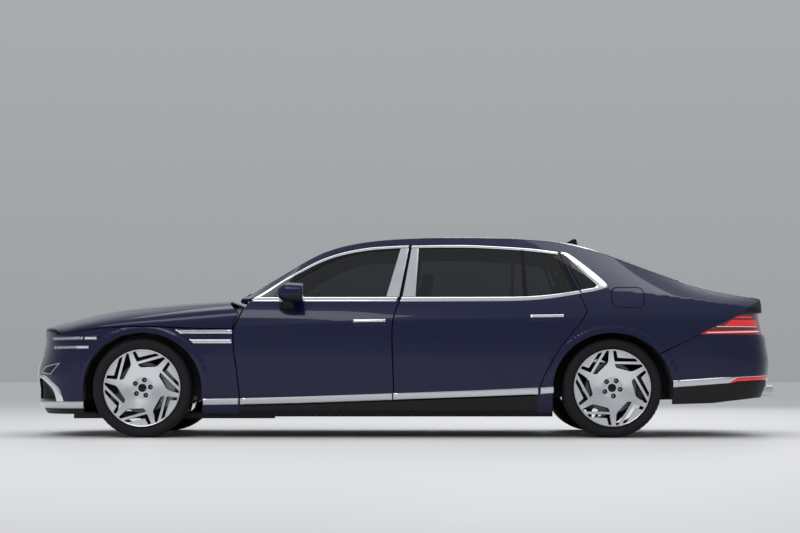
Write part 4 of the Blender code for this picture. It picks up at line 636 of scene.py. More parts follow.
def doorDepth(hinge):
    def depth(x, z):
        high = ease(0.955, 1.005, z)
        full = panelSizes["doorDepth"] + (panelSizes["frameDepth"] - panelSizes["doorDepth"]) * high
        return panelSizes["flange"] + (full - panelSizes["flange"]) * np.maximum(ease(hinge + 0.020,
                hinge + 0.036, x), high)
    return depth


def archCurve(axle, start, stop, grow=0.0, count=40):
    rise = (archTop - tyreRadius) / archRadius
    turn = np.radians(np.linspace(start, stop, count))
    return np.stack([axle + (archRadius + grow) * np.cos(turn),
                     tyreRadius + (archRadius + grow) * rise * np.sin(turn)], -1)


hoodSide = softCurve([(-2.70, 0.740), (-2.48, 0.745), (-2.35, 0.766), (-2.15, 0.790), (-1.86, 0.800),
                      (-1.60, 0.792), (-1.35, 0.784), (-1.205, 0.784), (-1.15, 0.79)], 0.03)


def buildSidePanels():
    gap, mid = panelSizes["doorGap"], panelSizes["midGap"]
    front = shrink([(fenderCurve[::-1], gap), ([fenderLine[0], (-0.6, 0.248), midLine[0]], 0.0),
                    (midCurve, mid), (topFront[::-1], gap)])
    rear = shrink([(midCurve[::-1], mid), ([midLine[0], (0.5, 0.290), rearLine[0]], 0.0), (rearCurve, gap),
                   (topRear[::-1], gap)])
    for place, outline, hole, hinge in (("Front", front, frontGlass, -1.095),
                                        ("Rear", rear, rearGlass, 0.045)):
        low = place.lower()
        made = trimmedSheet(sideSurface(), [outline, np.array(hole)], panelSizes["spacing"], doorDepth(hinge))
        pieces = bothSides(f"doorPanel{place}", made, [paint, paint, blackPlastic, glossBlack],
                           f"door_{low}_*", f"door_{low}_*")
        paintAbove(pieces, 0.990, 3)
        pane = shrink([(list(hole) + [hole[0]], 0.001)])
        made = trimmedSheet(sideSurface(0.0065, 0.0), [pane], (0.03, 0.03), 0.0045, 0.0006)
        bothSides(f"doorGlass{place}", made, [tintedGlass] * 3, f"door_{low}_*", f"door_glass_{low}_*")
    arch = archCurve(rearAxle, 180, 38.4, -0.002)
    tail, bumperTop = panelSizes["tailX"], panelSizes["bumperTop"]
    outline = shrink([([(-1.155, 0.990), (-1.113, 0.985)], 0.0),
                      (np.concatenate([[(-1.113, 0.985)], topCurve[topCurve[:, 0] > -1.08]]), 0.0),
                      (rearCurve[::-1], 0.0), ([rearLine[0], (rearLine[0][0], 0.178), (1.079, 0.178),
                                                arch[0]], 0.0), (arch, 0.0),
                                                ([arch[-1], (lampTop[0][0] - 0.001, bumperTop + 0.002)], 0.0),
                                                ([(lampTop[0][0] - 0.001, bumperTop + 0.002), lampTop[0],
                                                  lampTop[1], lampTop[2], (tail, lampTop[2][1] + 0.001)],
                                                  0.0), ([(tail, lampTop[2][1] + 0.001),
                                                          (tail, float(cantLevel(tail)))], 0.0),
                                                          ([(x, float(cantLevel(x)) - 0.0012)
                                                            for x in np.linspace(tail, -1.150, 90)]
                                                            + [(-1.155, 0.990)], 0.0)])
    flap = (1.508, 1.745, 0.930, 1.081)
    made = trimmedSheet(sideSurface(), [outline, np.array(quarterGlass), rounded(flap, 0.045)],
                        panelSizes["spacing"], 0.026)
    bothSides("sidePanel", made, [paint, paint, blackPlastic], "body_shell", "side_panel_*")
    pane = shrink([(quarterGlass + [quarterGlass[0]], 0.001)])
    made = trimmedSheet(sideSurface(0.0045, 0.0), [pane], (0.02, 0.02), 0.0045, 0.0006)
    bothSides("quarterGlass", made, [tintedGlass] * 3, "body_shell", "quarter_glass_*")
    lid = (flap[0] + 0.0045, flap[1] - 0.0045, flap[2] + 0.0045, flap[3] - 0.0045)
    made = trimmedSheet(sideSurface(), [rounded(lid, 0.041)], (0.014, 0.010), 0.0042, 0.0014)
    bothSides("fuelFlap", made, [paint, paint, blackPlastic], "fuel_flap", "fuel_flap",
              sides=(-1,))
    bothSides("blankFlap", made, [paint, paint, blackPlastic], "body_shell", None, sides=(1,))
    arch = archCurve(frontAxle, 0, 117.5, 0.0)
    top = [(x, float(hoodSide(x)) - 0.0095) for x in np.linspace(-2.0598, -1.2135, 40)]
    foot = (-1.43, 0.176)
    outline = shrink([([foot, (-1.166, 0.176)], 0.0),
                      (np.concatenate([[(-1.166, 0.176)],
                                       fenderCurve[(fenderCurve[:, 1] > 0.24) & (fenderCurve[:, 1] < 0.77)]
                                       - [0.0015, 0], [top[-1]]]), 0.0), (top[::-1], 0.0),
                                       ([top[0], arch[-1]], 0.0), (arch[::-1], 0.0), ([arch[0], foot], 0.0)])
    made = trimmedSheet(sideSurface(), [outline], panelSizes["spacing"], 0.012)
    bothSides("fender", made, [paint, paint, blackPlastic], "body_shell", "fender_*")


buildSidePanels()

print("roof, screens and lids")


def windscreenBase(s):
    return -1.225 + 0.085 * (s / 0.6) ** 2


def roofFront(s):
    return -0.420 - 0.060 * (s / 0.6) ** 2


def lidFront(s):
    return 2.050 - 0.020 * (s / 0.6) ** 2


# Outline of a top panel between a front and a rear line, in x and share across times 0.6 m
def topOutline(front, rear, side):
    across = np.linspace(-side, side, 41) * 0.6
    return np.concatenate([np.stack([front(across), across], -1), np.stack([rear(across), across], -1)[::-1]])


def buildTop():
    still = lambda x: (lambda s: x + 0.0 * s)
    band = panelSizes["screenBand"]
    for name, front, rear, side, depth, stuff, node, slot in (("windscreen", windscreenBase,
                                                               lambda s: roofFront(s) - 0.001, 0.985, 0.0055,
                                                               screenGlass, "windscreen", "tinted_glass"),
                                                               ("roofPanel", roofFront, still(1.370), 0.9975,
                                                                       0.020, paint, "roof", "body_paint"),
                                                                               ("rearWindow", still(1.3715),
                                                                                       lambda s: lidFront(s) - 0.013, 0.982, 0.0055, tintedGlass, "rear_window", "tinted_glass")):
        made = trimmedSheet(topSurface(), [topOutline(front, rear, side)], (0.03, 0.03), depth, 0.0012)
        piece = makeMesh(name, made[0], made[1], [stuff, stuff, headlining if stuff is paint else stuff],
                         made[2], made[3])
        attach(piece, "body_shell")
        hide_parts(node)
        if stuff is paint:
            continue
        outer = topOutline(lambda s: front(s) + 0.002, lambda s: rear(s) - 0.002, side - 0.002)
        inner = topOutline(lambda s: front(s) + band + 0.02, lambda s: rear(s) - band, side - 0.075)
        made = trimmedSheet(topSurface(-0.0006), [outer, inner], (0.03, 0.03), 0.0011, 0.0002)
        piece = makeMesh(name + "Band", made[0], made[1], [glossBlack] * 3, made[2], made[3])
        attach(piece, "body_shell")


buildTop()

hoodCentre = softCurve([(-2.70, 0.776), (-2.6806, 0.786), (-2.533, 0.843), (-2.316, 0.898), (-2.030, 0.948),
                        (-1.795, 0.968), (-1.519, 0.985), (-1.325, 0.994), (-1.20, 0.997)], 0.02)
hoodFull = softCurve([(-2.70, 1.9), (-2.3, 1.95), (-1.9, 2.5), (-1.5, 3.6), (-1.15, 4.6)], 0.05)
hoodHalf = softCurve([(-2.70, 0.800), (-2.48, 0.806), (-2.35, 0.866), (-2.15, 0.917), (-1.86, 0.942),
                      (-1.50, 0.946), (-1.15, 0.946)], 0.02)
nosePlan = [(-2.7325, 0.0), (-2.7300, 0.16), (-2.7200, 0.30), (-2.6960, 0.43), (-2.650, 0.565),
            (-2.590, 0.680), (-2.510, 0.775), (-2.410, 0.845), (-2.285, 0.893), (-2.100, 0.926),
            (-1.860, 0.944)]
tailPlan = [(2.7325, 0.0), (2.7260, 0.28), (2.7000, 0.53), (2.6600, 0.68), (2.6000, 0.785), (2.5200, 0.845),
            (2.400, 0.890), (2.200, 0.932), (1.950, 0.957), (1.850, 0.960)]
noseBack = softCurve([(0.16, 0.075), (0.20, 0.045), (0.25, 0.016), (0.33, 0.020), (0.45, 0.000),
                      (0.52, 0.010), (0.60, 0.040), (0.70, 0.060), (0.79, 0.050)], 0.006)
tailBack = softCurve([(0.24, 0.110), (0.30, 0.060), (0.40, 0.018), (0.47, 0.003), (0.55, 0.000),
                      (0.63, 0.014), (0.72, 0.030), (0.77, 0.060), (0.90, 0.085), (1.00, 0.070)], 0.006)


def alongPlan(plan):
    plan = np.array(plan)
    reach = np.concatenate([[0.0], np.cumsum(np.hypot(*np.diff(plan, axis=0).T))])
    both = np.concatenate([-reach[:0:-1], reach])
    x = softCurve(list(zip(both, np.concatenate([plan[:0:-1, 0], plan[:, 0]]))), 0.02)
    y = softCurve(list(zip(both, np.concatenate([-plan[:0:-1, 1], plan[:, 1]]))), 0.02)
    return x, y, reach


noseX, noseY, noseReach = alongPlan(nosePlan)
tailX, tailY, tailReach = alongPlan(tailPlan)


# Nose or tail: the plan outline moved back by the level's own amount, which fades towards the side
def endSurface(rear=False, inward=0.0):
    planX, planY, back, full, sign = (tailX, tailY, tailBack, 1.25, -1) if rear else (noseX, noseY, noseBack,
            1.05, 1)

    def surface(reach, z):
        turn = np.clip(np.abs(reach) / full, 0.0, 1.0) ** 2
        ahead, aside = (1 - turn) * (back(z) + inward), (sideDrop(z) + inward) * turn
        raised = sideDetail(planX(reach), z) * ease(full - 0.15, full + 0.05, np.abs(reach))
        y = np.sign(reach) * (np.abs(planY(reach)) - aside + raised)
        return np.stack(np.broadcast_arrays(planX(reach) + sign * ahead, -y, z), axis=-1)
    return surface


def reachAtX(x, rear=False):
    return float(np.interp(-x, -tailX(tailReach), tailReach) if rear
                 else np.interp(x, noseX(noseReach), noseReach))


def reachAtY(y, rear=False):
    return float(np.interp(y, tailY(tailReach), tailReach) if rear
                 else np.interp(y, noseY(noseReach), noseReach))


# Hood: quarter ellipses of a growing power across, from the centre line down to the side edge
def hoodPoint(a, b, sink=0.0):
    swing = b * math.pi / 2
    ahead = np.interp(0.806 * np.sin(swing) ** (2 / 1.9), noseY(noseReach), noseReach)
    front = noseX(ahead) + 0.052 * (1 - np.clip(ahead / 1.05, 0, 1) ** 2)
    rear = hoodRear(b)
    x = front + (rear - front) * a
    power = hoodFull(x)
    y = hoodHalf(x) * np.sin(swing) ** (2 / power)
    z = hoodSide(x) + (hoodCentre(x) - hoodSide(x)) * np.clip(np.cos(swing), 0, 1) ** (2 / power)
    return np.stack([x, -y, z - sink], axis=-1)


hoodRear = softCurve([(0.0, -1.262), (0.5, -1.240), (0.72, -1.210), (0.82, -1.187), (0.90, -1.178),
                      (1.0, -1.216)], 0.015)


def buildHood():
    b = np.concatenate([np.linspace(0, 0.6, 20), np.linspace(0.62, 1.0, 32)])
    a = np.linspace(0, 1, 76)
    aa, bb = np.meshgrid(a, b, indexing="ij")
    half = hoodPoint(aa, bb)
    crease = 0.004 * np.exp(-((bb - 0.46 - 0.06 * aa) / 0.035) ** 2) * ease(0.05, 0.3,
            aa)  # long soft rib on each side
    half[..., 2] += crease
    other = half[:, :0:-1].copy()
    other[..., 1] *= -1
    outer = np.concatenate([other, half], axis=1)
    normal = gridNormals(outer)
    normal *= np.sign(normal[..., 2:3] + 0.001)
    points, faces = gridSlab(outer, outer - normal * 0.011)
    hood = makeMesh("hoodPanel", points, faces, [paint])
    mendNormals(hood)
    sharpen(hood, 40)
    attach(hood, "hood")
    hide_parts("hood")


buildHood()

print("trim")


# Points at even steps along a line, smoothed first when asked
def evenly(points, count, smooth=False):
    points = curved(points) if smooth else np.array(points, float)
    reach = np.concatenate([[0], np.cumsum(np.linalg.norm(np.diff(points, axis=0), axis=1))])
    at = np.linspace(0, reach[-1], count)
    return np.stack([np.interp(at, reach, column) for column in points.T], -1)


def surfaceNormal(surface, u, v, h=1e-4):
    du, dv = surface(u + h, v) - surface(u - h, v), surface(u, v + h) - surface(u, v - h)
    return unit(np.cross(du, dv))


# Raised band between two lines of a surface's parameters: the lift falls to nothing at its edges
# by the power of the distance from its middle line
def ribbon(surface, low, high, proud, sink=0.003, across=9, power=6, ends=0):
    t, s = np.linspace(0, 1, across), np.linspace(-1, 1, len(low))
    uv = low[:, None] * (1 - t)[None, :, None] + high[:, None] * t[None, :, None]
    point, normal = surface(uv[..., 0], uv[..., 1]), surfaceNormal(surface, uv[..., 0], uv[..., 1])
    if (normal * (point - [0, 0, 0.5])).sum() < 0:
        normal = -normal
    lift = proud * (1 - np.abs(2 * t - 1) ** power)[None, :, None] * np.ones((len(low), 1, 1))
    if ends:
        lift = lift * (1 - np.abs(s) ** ends)[:, None, None]
    return (*gridSlab(point + normal * lift, point - normal * sink), None, None)


def merged(parts):
    points, faces, total = [], [], 0
    for part in parts:
        points.append(np.asarray(part[0]))
        faces += [tuple(int(i) + total for i in f) for f in np.asarray(part[1], dtype=object).tolist()]
        total += len(part[0])
    return np.concatenate(points), faces, None, None


# Piece with its normals mended and its corners sharp above an angle; both sides when the body has a star or pair is set
def fitted(name, made, stuff, body, node=None, angle=35, bevel=0.0, pair=False):
    if "*" in body or pair:
        pieces = bothSides(name, made, [stuff], body, node)
    else:
        pieces = [makeMesh(name, made[0], [tuple(f) for f in np.asarray(made[1], dtype=object).tolist()],
                           [stuff])]
        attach(pieces[0], body)
        if node:
            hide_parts(*([node] if isinstance(node, str) else node))
    for piece in pieces:
        mendNormals(piece)
        sharpen(piece, angle)
        if bevel:
            addBevel(piece, bevel)
    return pieces


def line(*points):
    return np.array(points, float)


def ringInner(outline, width):
    outline = dense(outline, 0.02)
    outline = outline if loopArea(outline) > 0 else outline[::-1]
    return outline - outward(outline) * width


def buildSideTrim():
    skin = sideSurface(0.0, 0.0)
    strip = {"proud": 0.0045}
    # Belt strip, split at the shut lines: low and high line of each run and the body that carries it
    belt = [("beltFront", line((-1.080, 0.976), (-0.040, 0.976)), line((-1.020, 1.008), (-0.030, 1.008)),
             "door_front_*"), ("beltRear",
                               line((-0.012, 0.976), (0.60, 0.979), (0.88, 0.984), (1.085, 1.002),
                                    (1.290, 1.036)), line((0.001, 1.008), (0.60, 1.009), (0.88, 1.012),
                                                          (1.080, 1.027), (1.276, 1.055)), "door_rear_*"),
                                                          ("arcFront", line((-1.055, 0.985), (-0.961, 1.050),
                                                                  (-0.861, 1.120), (-0.759, 1.181),
                                                                          (-0.605, 1.263), (-0.451, 1.319),
                                                                                  (-0.245, 1.360), (-0.010,
                                                                                          1.377), (0.045, 1.378)), line((-1.085, 0.985), (-0.975, 1.062), (-0.861, 1.136), (-0.759, 1.198), (-0.605, 1.280), (-0.451, 1.336), (-0.245, 1.377), (-0.010, 1.393), (0.052, 1.394)), "door_front_*"), ("arcRear", line((0.070, 1.378), (0.434, 1.381), (0.658, 1.373), (0.908, 1.356), (1.140, 1.330)), line((0.074, 1.394), (0.434, 1.3985), (0.658, 1.390), (0.949, 1.371), (1.144, 1.346)), "door_rear_*")]
    for name, low, high, body in belt:
        smooth = len(low) > 2
        made = ribbon(skin, evenly(low, 60, smooth), evenly(high, 60, smooth), strip["proud"], 0.002)
        fitted(name, made, chrome, body)
    pillars = [("pillarFront", line((-0.112, 1.010), (-0.009, 1.372)), line((-0.020, 1.010), (0.052, 1.376)),
                "door_front_*"), ("pillarRear", line((0.006, 1.010), (0.072, 1.376)),
                                  line((0.098, 1.010), (0.124, 1.374)), "door_rear_*")]
    for name, low, high, body in pillars:
        fitted(name, ribbon(skin, evenly(low, 12), evenly(high, 12), 0.003, 0.002, 13, 10), satin, body)
    sail = [(-1.030, 1.009), (-0.884, 1.009), (-0.884, 1.092), (-0.930, 1.062), (-0.985, 1.026)]
    made = trimmedSheet(sideSurface(-0.0008, 0.0), [sail], (0.02, 0.02), 0.0016, 0.0004)
    bothSides("mirrorSail", made, [glossBlack] * 3, "door_front_*")
    # Painted corner between the hood's rear edge and the door
    edge = hoodPoint(np.ones(24), np.linspace(1.0, 0.80, 24))[:, [0, 2]] + [0.0055, 0]
    edge = edge[(edge[:, 1] > 0.800) & (edge[:, 1] < 0.948)]
    shut = fenderCurve[(fenderCurve[:, 1] > 0.800) & (fenderCurve[:, 1] < 0.950)] - [0.0060, 0]
    made = trimmedSheet(sideSurface(), [np.concatenate([edge, shut[::-1]])], (0.012, 0.010), 0.006, 0.0010)
    bothSides("cowlCorner", made, [paint, paint, blackPlastic], "body_shell", None)
    # Band round the tip of the quarter glass, wider at its rear
    outer = line((1.166, 1.347), (1.206, 1.341), (1.256, 1.310), (1.366, 1.220), (1.450, 1.142),
                 (1.482, 1.103), (1.484, 1.088), (1.468, 1.075), (1.391, 1.054), (1.297, 1.038))
    inner = line((1.166, 1.331), (1.188, 1.323), (1.240, 1.281), (1.319, 1.189), (1.397, 1.109),
                 (1.406, 1.096), (1.404, 1.088), (1.392, 1.078), (1.340, 1.069), (1.290, 1.060))
    made = ribbon(skin, curved(inner, 8), curved(outer, 8), strip["proud"], 0.002, 11)
    fitted("quarterBand", made, chrome, "body_shell", pair=True)
    frameLine = [(1.291, 1.053), (1.394, 1.074), (1.412, 1.090), (1.406, 1.109), (1.323, 1.194),
                 (1.243, 1.286), (1.190, 1.329), (1.166, 1.336)]
    hole = ringInner(quarterGlass, -0.0005)
    made = trimmedSheet(sideSurface(-0.0008, 0.0), [frameLine, hole], (0.02, 0.02), 0.0016, 0.0004)
    bothSides("quarterFrame", made, [glossBlack] * 3, "body_shell")
    fitted("divisionBar", ribbon(skin, line((0.872, 1.010), (0.872, 1.366)),
                                 line((0.908, 1.010), (0.892, 1.362)), 0.0025, 0.002, 7), glossBlack,
                                 "door_rear_*")
    # Handles: a bright upper edge over a painted flap
    for name, x0, x1, z0, z1, rise, body in (("handleFront", -0.3475, -0.118, 0.826, 0.846, 0.002,
                                              "door_front_*"), ("handleRear", 0.923, 1.159, 0.860, 0.879,
                                                      0.003, "door_rear_*")):
        detail = sideSurface(0.0, 1.0)
        top = ribbon(detail, evenly([(x0, z0), (x1, z0 + rise)], 40), evenly([(x0, z1), (x1, z1 + rise)], 40),
                     0.005, 0.002, 9, 4, 40)
        fitted(name + "Edge", top, chrome, body)
        low = ribbon(detail, evenly([(x0, z0 - 0.026), (x1, z0 - 0.024)], 40),
                     evenly([(x0, z0 - 0.001), (x1, z0 + rise - 0.001)], 40), 0.0035, 0.002, 9, 6, 40)
        fitted(name + "Flap", low, paint, body)
    # Lower strip along the car and the black sill below it
    lowLine = [(-1.430, 0.232), (-1.176, 0.236), (-0.730, 0.246), (-0.060, 0.270), (0.510, 0.290),
               (0.980, 0.309), (1.090, 0.318)]
    highLine = [(-1.430, 0.277), (-1.176, 0.281), (-0.730, 0.293), (-0.060, 0.317), (0.510, 0.337),
                (0.980, 0.358), (1.088, 0.364)]
    runs = [("lowFender", -1.428, -1.172, "body_shell"), ("lowFront", -1.160, -0.070, "door_front_*"),
            ("lowRear", -0.060, 0.975, "door_rear_*"), ("lowTail", 0.992, 1.086, "body_shell")]
    for name, x0, x1, body in runs:
        xs = np.linspace(x0, x1, 60)
        low, high = (np.stack([xs, np.interp(xs, *zip(*points))], -1) for points in (lowLine, highLine))
        made = ribbon(sideSurface(0.0, 1.0), low, high, 0.006, 0.002, 11, 8, 200)
        fitted(name, made, satin, body, pair=True)
    xs = np.linspace(-1.435, 1.082, 100)
    low, high = np.stack([xs, 0.150 + 0 * xs], -1), np.stack([xs, np.interp(xs, *zip(*lowLine)) - 0.0075], -1)
    made = ribbon(sideSurface(0.004, 0.0), low, high, 0.002, 0.009, 13, 12)
    fitted("sillCover", made, glossBlack, "body_shell", pair=True)
    # Light bars on the fender behind the wheel
    for name, low, high in (("fenderBarHigh", line((-1.585, 0.744), (-1.217, 0.744)),
                             line((-1.621, 0.7715), (-1.217, 0.7715))),
                             ("fenderBarLow", line((-1.492, 0.675), (-1.220, 0.675)),
                              line((-1.522, 0.703), (-1.220, 0.703)))):
        made = ribbon(sideSurface(0.0, 1.0), evenly(low, 40), evenly(high, 40), 0.0045, 0.002, 9, 6, 60)
        fitted(name, made, chrome, "body_shell", pair=True)


buildSideTrim()

print("wheels")

wheelSizes = {"face": 0.925, "outer": 0.2705, "scale": 0.985, "groups": 6, "nutCircle": 0.0584,
              "nuts": (75, 6, -64, -136, 148), "recess": 0.0175, "discRadius": 0.185, "disc": (0.795, 0.825),
              "treadPitches": 56, "stopped": {"front": 0.0,
                                              "rear": -16.5}}  # degrees that each wheel stands turned in the photo
slantedWindow = [(-0.031, 0.169), (-0.025, 0.174), (0.148, 0.221), (0.160, 0.222), (0.166, 0.210),
                 (0.112, 0.160), (0.092, 0.152), (-0.012, 0.149)]
bentWindow = [(-0.0697, 0.2597), (-0.0485, 0.2654), (-0.024, 0.2214), (0.0996, 0.2505), (0.128, 0.2366),
              (-0.0358, 0.1894), (-0.041, 0.195)]


# Outline whose corners are parabolas that start at the reach of a fillet of that radius
def filleted(outline, radius, steps=6):
    outline = np.array(outline, float)
    before, after = np.roll(outline, 1, 0) - outline, np.roll(outline, -1, 0) - outline
    half = np.arccos(np.clip((unit(before) * unit(after)).sum(1), -0.9999, 0.9999)) / 2
    reach = np.minimum(radius / np.tan(half),
                       0.45 * np.minimum(np.linalg.norm(before, axis=1), np.linalg.norm(after, axis=1)))[:,
                               None]
    start, end, t = outline + unit(before) * reach, outline + unit(after) * reach, np.linspace(0, 1,
            steps)[None, :, None]
    return ((1 - t) ** 2 * start[:, None] + 2 * t * (1 - t) * outline[:, None] + t**2
            * end[:, None]).reshape(-1, 2)


# Profile of radius and half-width turned about an axle; depth(angle, y) lowers each point along its radius
def turned(profile, axle, count, depth=None, level=tyreRadius):
    profile = np.array(profile, float)
    turn, radius = np.meshgrid(np.arange(count) * 2 * math.pi / count, profile[:, 0], indexing="ij")
    aside = np.broadcast_to(profile[None, :, 1], turn.shape)
    radius = radius - (depth(turn, aside) if depth else 0.0)
    grid = np.stack([axle + radius * np.cos(turn), -aside, level + radius * np.sin(turn)], -1)
    rows, columns = grid.shape[:2]
    i, j = np.meshgrid(np.arange(rows), np.arange(columns), indexing="ij")
    m, k = (i + 1) % rows, (j + 1) % columns
    return grid.reshape(-1, 3), np.stack([i * columns + j, m * columns + j, m * columns + k, i * columns + k],
                                         -1).reshape(-1, 4), None, None


def circle(radius, centre=(0.0, 0.0), count=48):
    turn = np.arange(count) * 2 * math.pi / count
    return np.stack([centre[0] + radius * np.cos(turn), centre[1] + radius * np.sin(turn)], -1)


# Face of the rim: it stands out from the nut circle to the lip by a quarter sine
def rimFace(axle):
    def surface(u, v):
        climb = np.clip((np.hypot(u, v) - 0.078) / 0.192, 0.0, 1.0)
        dish = 0.030 - 0.024 * np.sin(climb * math.pi / 2)
        return np.stack(np.broadcast_arrays(axle + u, dish - wheelSizes["face"], tyreRadius + v), -1)
    return surface


def buildWheels():
    size = wheelSizes
    for place, axle, half, alloy, rubber in (("front", frontAxle, 0.1225, frontAlloy, frontRubber),
                                             ("rear", rearAxle, 0.1325, rearAlloy, rearRubber)):
        body, big = f"wheel_{place}_*", place.title()
        stopped = size["stopped"][place]
        nuts = [(size["nutCircle"] * math.cos(math.radians(a + stopped)),
                 size["nutCircle"] * math.sin(math.radians(a + stopped))) for a in size["nuts"]]
        windows = []
        for k in range(size["groups"]):
            turn = k * 2 * math.pi / size["groups"] + math.radians(stopped)
            spin = np.array([(math.cos(turn), math.sin(turn)), (-math.sin(turn), math.cos(turn))])
            windows += [filleted(np.array(drawn) * size["scale"], 0.004) @ spin
                        for drawn in (slantedWindow, bentWindow)]
        loops = [circle(size["outer"], count=160), *windows,
                 *(circle(size["recess"], nut, 28) for nut in nuts)]
        made = trimmedSheet(rimFace(axle), loops, 0.008, 0.034, 0.0009)
        bothSides("rimFace" + big, made, [alloy, glossBlack, glossBlack], body, f"wheel_{place}_*")
        lip = [(0.2700, 0.9000), (0.2700, 0.9165), (0.2716, 0.9212), (0.2750, 0.9224), (0.2790, 0.9190),
               (0.2806, 0.9130), (0.2806, 0.9000)]
        fitted("rimLip" + big, turned(lip, axle, 180), alloy, body)
        back = 0.935 - 1.80 * half
        barrel = [(0.2804, 0.8990), (0.2804, back + 0.006), (0.2780, back), (0.2640, back),
                  (0.2600, back + 0.010), (0.2550, 0.80), (0.2640, 0.87), (0.2690, 0.8990)]
        plate = [(0.0, 0.8560), (0.0, 0.8780), (0.082, 0.8780), (0.100, 0.8560)]
        fitted("rimBarrel" + big, merged([turned(barrel, axle, 120), turned(plate, axle, 72)]), blackPlastic,
               body)
        cap = [(0.0, 0.8948), (0.0, 0.9000), (0.012, 0.8996), (0.024, 0.8985), (0.0285, 0.8972),
               (0.030, 0.8948)]
        fitted("hubCap" + big, turned(cap, axle, 64), glossBlack, body)
        nut = [(0.0, 0.8770), (0.0, 0.8900), (0.0055, 0.8900), (0.0095, 0.8880), (0.0105, 0.8860),
               (0.0105, 0.8770)]
        fitted("wheelNuts" + big, merged([turned(nut, axle + u, 6, level=tyreRadius + v) for u, v in nuts]),
               darkChrome, body, angle=20)
        y0, y1 = size["disc"]
        radius = size["discRadius"]
        disc = [(0.0, y0), (radius - 0.002, y0), (radius, y0 + 0.002), (radius, y0 + 0.010),
                (radius - 0.006, y0 + 0.0102), (radius - 0.006, y1 - 0.0102), (radius, y1 - 0.010),
                (radius, y1 - 0.002), (radius - 0.002, y1), (0.088, y1), (0.085, y1 + 0.003), (0.074, 0.8555),
                (0.0, 0.8558)]
        fitted("brakeDisc" + big, turned(disc, axle, 120), discMetal, body)
        buildTyre(big, axle, half, rubber, body)


# Tyre: sidewalls as a smooth curve, four grooves round the tread and slanted slots across its ribs
def buildTyre(big, axle, half, rubber, body):
    centre = 0.935 - half
    wall = curved([(0.2812, 0.775), (0.2835, 0.860), (0.2870, 0.905), (0.2905, 0.900), (0.3000, 0.955),
                   (0.3180, 0.995), (0.3340, 0.970), (0.3455, 0.895), (0.3520, 0.815), (0.3552, 0.730)], 3)
    share = np.linspace(-0.70, 0.70, 53)
    crown = np.stack([0.356 - 0.0010 * (share / 0.7) ** 4, share], -1)
    profile = np.concatenate([wall * [1, -1], crown, wall[::-1]])
    profile[:, 1] = centre + profile[:, 1] * half
    pitches = wheelSizes["treadPitches"]

    def depth(turn, aside):
        across = (aside - centre) / half
        tread = ease(0.86, 0.80, np.abs(across))
        groove = np.max([1 - ease(0.028, 0.046, np.abs(across - at)) for at in (-0.43, -0.145, 0.145, 0.43)],
                        axis=0)
        phase = (turn * pitches / (2 * math.pi) + 0.55 * np.abs(across)) % 1.0
        slot = (phase < 0.20) * (np.abs(across) > 0.47) + 0.45 * (np.abs((phase + 0.5) % 1.0
                - 0.1) < 0.07) * (np.abs(across) < 0.40) * (np.abs(across) > 0.18)
        return 0.0070 * tread * np.clip(groove + 0.8 * slot, 0, 1)
    fitted("tyre" + big, turned(profile, axle, pitches * 6, depth), rubber, body,
           "tyre_" + big.lower() + "_*", 40)


buildWheels()

print("nose and tail")

frontSizes = {"bladeLow": 0.206, "bladeTop": 0.2565, "archX": -2.2895, "cell": (0.042, 0.060),
              "meshDepth": 0.014}
crest = [(0, 0.748), (0.18, 0.7475), (0.385, 0.735), (0.400, 0.700), (0.400, 0.600), (0.375, 0.500),
         (0.300, 0.380), (0.205, 0.300), (0.12, 0.268), (0, 0.262)]
lampBars = {"High": ((-2.585, 0.698), (-2.190, 0.700), (-2.172, 0.727), (-2.585, 0.727)),
            "Low": ((-2.562, 0.634), (-2.250, 0.636), (-2.232, 0.661), (-2.562, 0.661))}


def noseTop(reach):
    y = noseY(np.abs(reach))
    ahead = np.interp(y, noseY(noseReach), noseReach)
    x = np.where(y < 0.806, noseX(ahead) + 0.052 * (1 - np.clip(ahead / 1.05, 0, 1) ** 2),
                 noseX(np.abs(reach)))
    rise = np.sqrt(1 - (np.clip(y / 0.760, 0, 1) ** 0.95) ** 2) ** (2 / 1.9)
    return hoodSide(x) + (hoodCentre(x) - hoodSide(x)) * rise - 0.011 - 0.010 * rise


def toReach(points, rear=False):
    return np.array([(reachAtX(x, rear), z) for x, z in points])


def twin(outline):
    return np.array(outline)[::-1] * [-1, 1]


# Diamonds on a surface, each a rim round a pocket that slopes back, kept where its centre lies inside the outline
def lattice(surface, outline, cell, rim, depth):
    cell, outline = np.array(cell), np.array(outline, float)
    i, j = np.meshgrid(np.arange(-80, 81), np.arange(-40, 41), indexing="ij")
    even = (i + j) % 2 == 0
    centres = np.stack([i[even] * cell[0] / 2, j[even] * cell[1] / 2 + 0.5], -1)
    centres = centres[isInside(centres, [outline])]
    corner = np.array([(1, 0), (0, 1), (-1, 0), (0, -1)]) * cell / 2
    rings = []
    for share, back in ((1.0, 0.0015), (1.0 - rim * 0.4, 0.0), (1.0 - rim, 0.0015),
                        (1.0 - rim * 1.25, depth)):
        uv = centres[:, None] + corner[None] * share
        point, normal = surface(uv[..., 0], uv[..., 1]), surfaceNormal(surface, uv[..., 0], uv[..., 1])
        normal = normal * np.sign((normal * (point - [0, 0, 0.5])).sum(-1, keepdims=True))
        rings.append(point - normal * back)
    grid = np.stack(rings, 1)
    count = len(centres)
    start = np.arange(count)[:, None, None] * 16
    ring, k = np.meshgrid(np.arange(3), np.arange(4), indexing="ij")
    a, b = ring * 4 + k, ring * 4 + (k + 1) % 4
    quads = np.stack([start + a, start + b, start + b + 4, start + a + 4], -1).reshape(-1, 4)
    floors = np.arange(count)[:, None] * 16 + np.array([[12, 13, 14, 15]])
    index = np.concatenate([np.tile(np.repeat([0, 0, 1], 4), count), np.ones(count)])
    return grid.reshape(-1, 3), np.concatenate([quads, floors]).tolist(), index, None


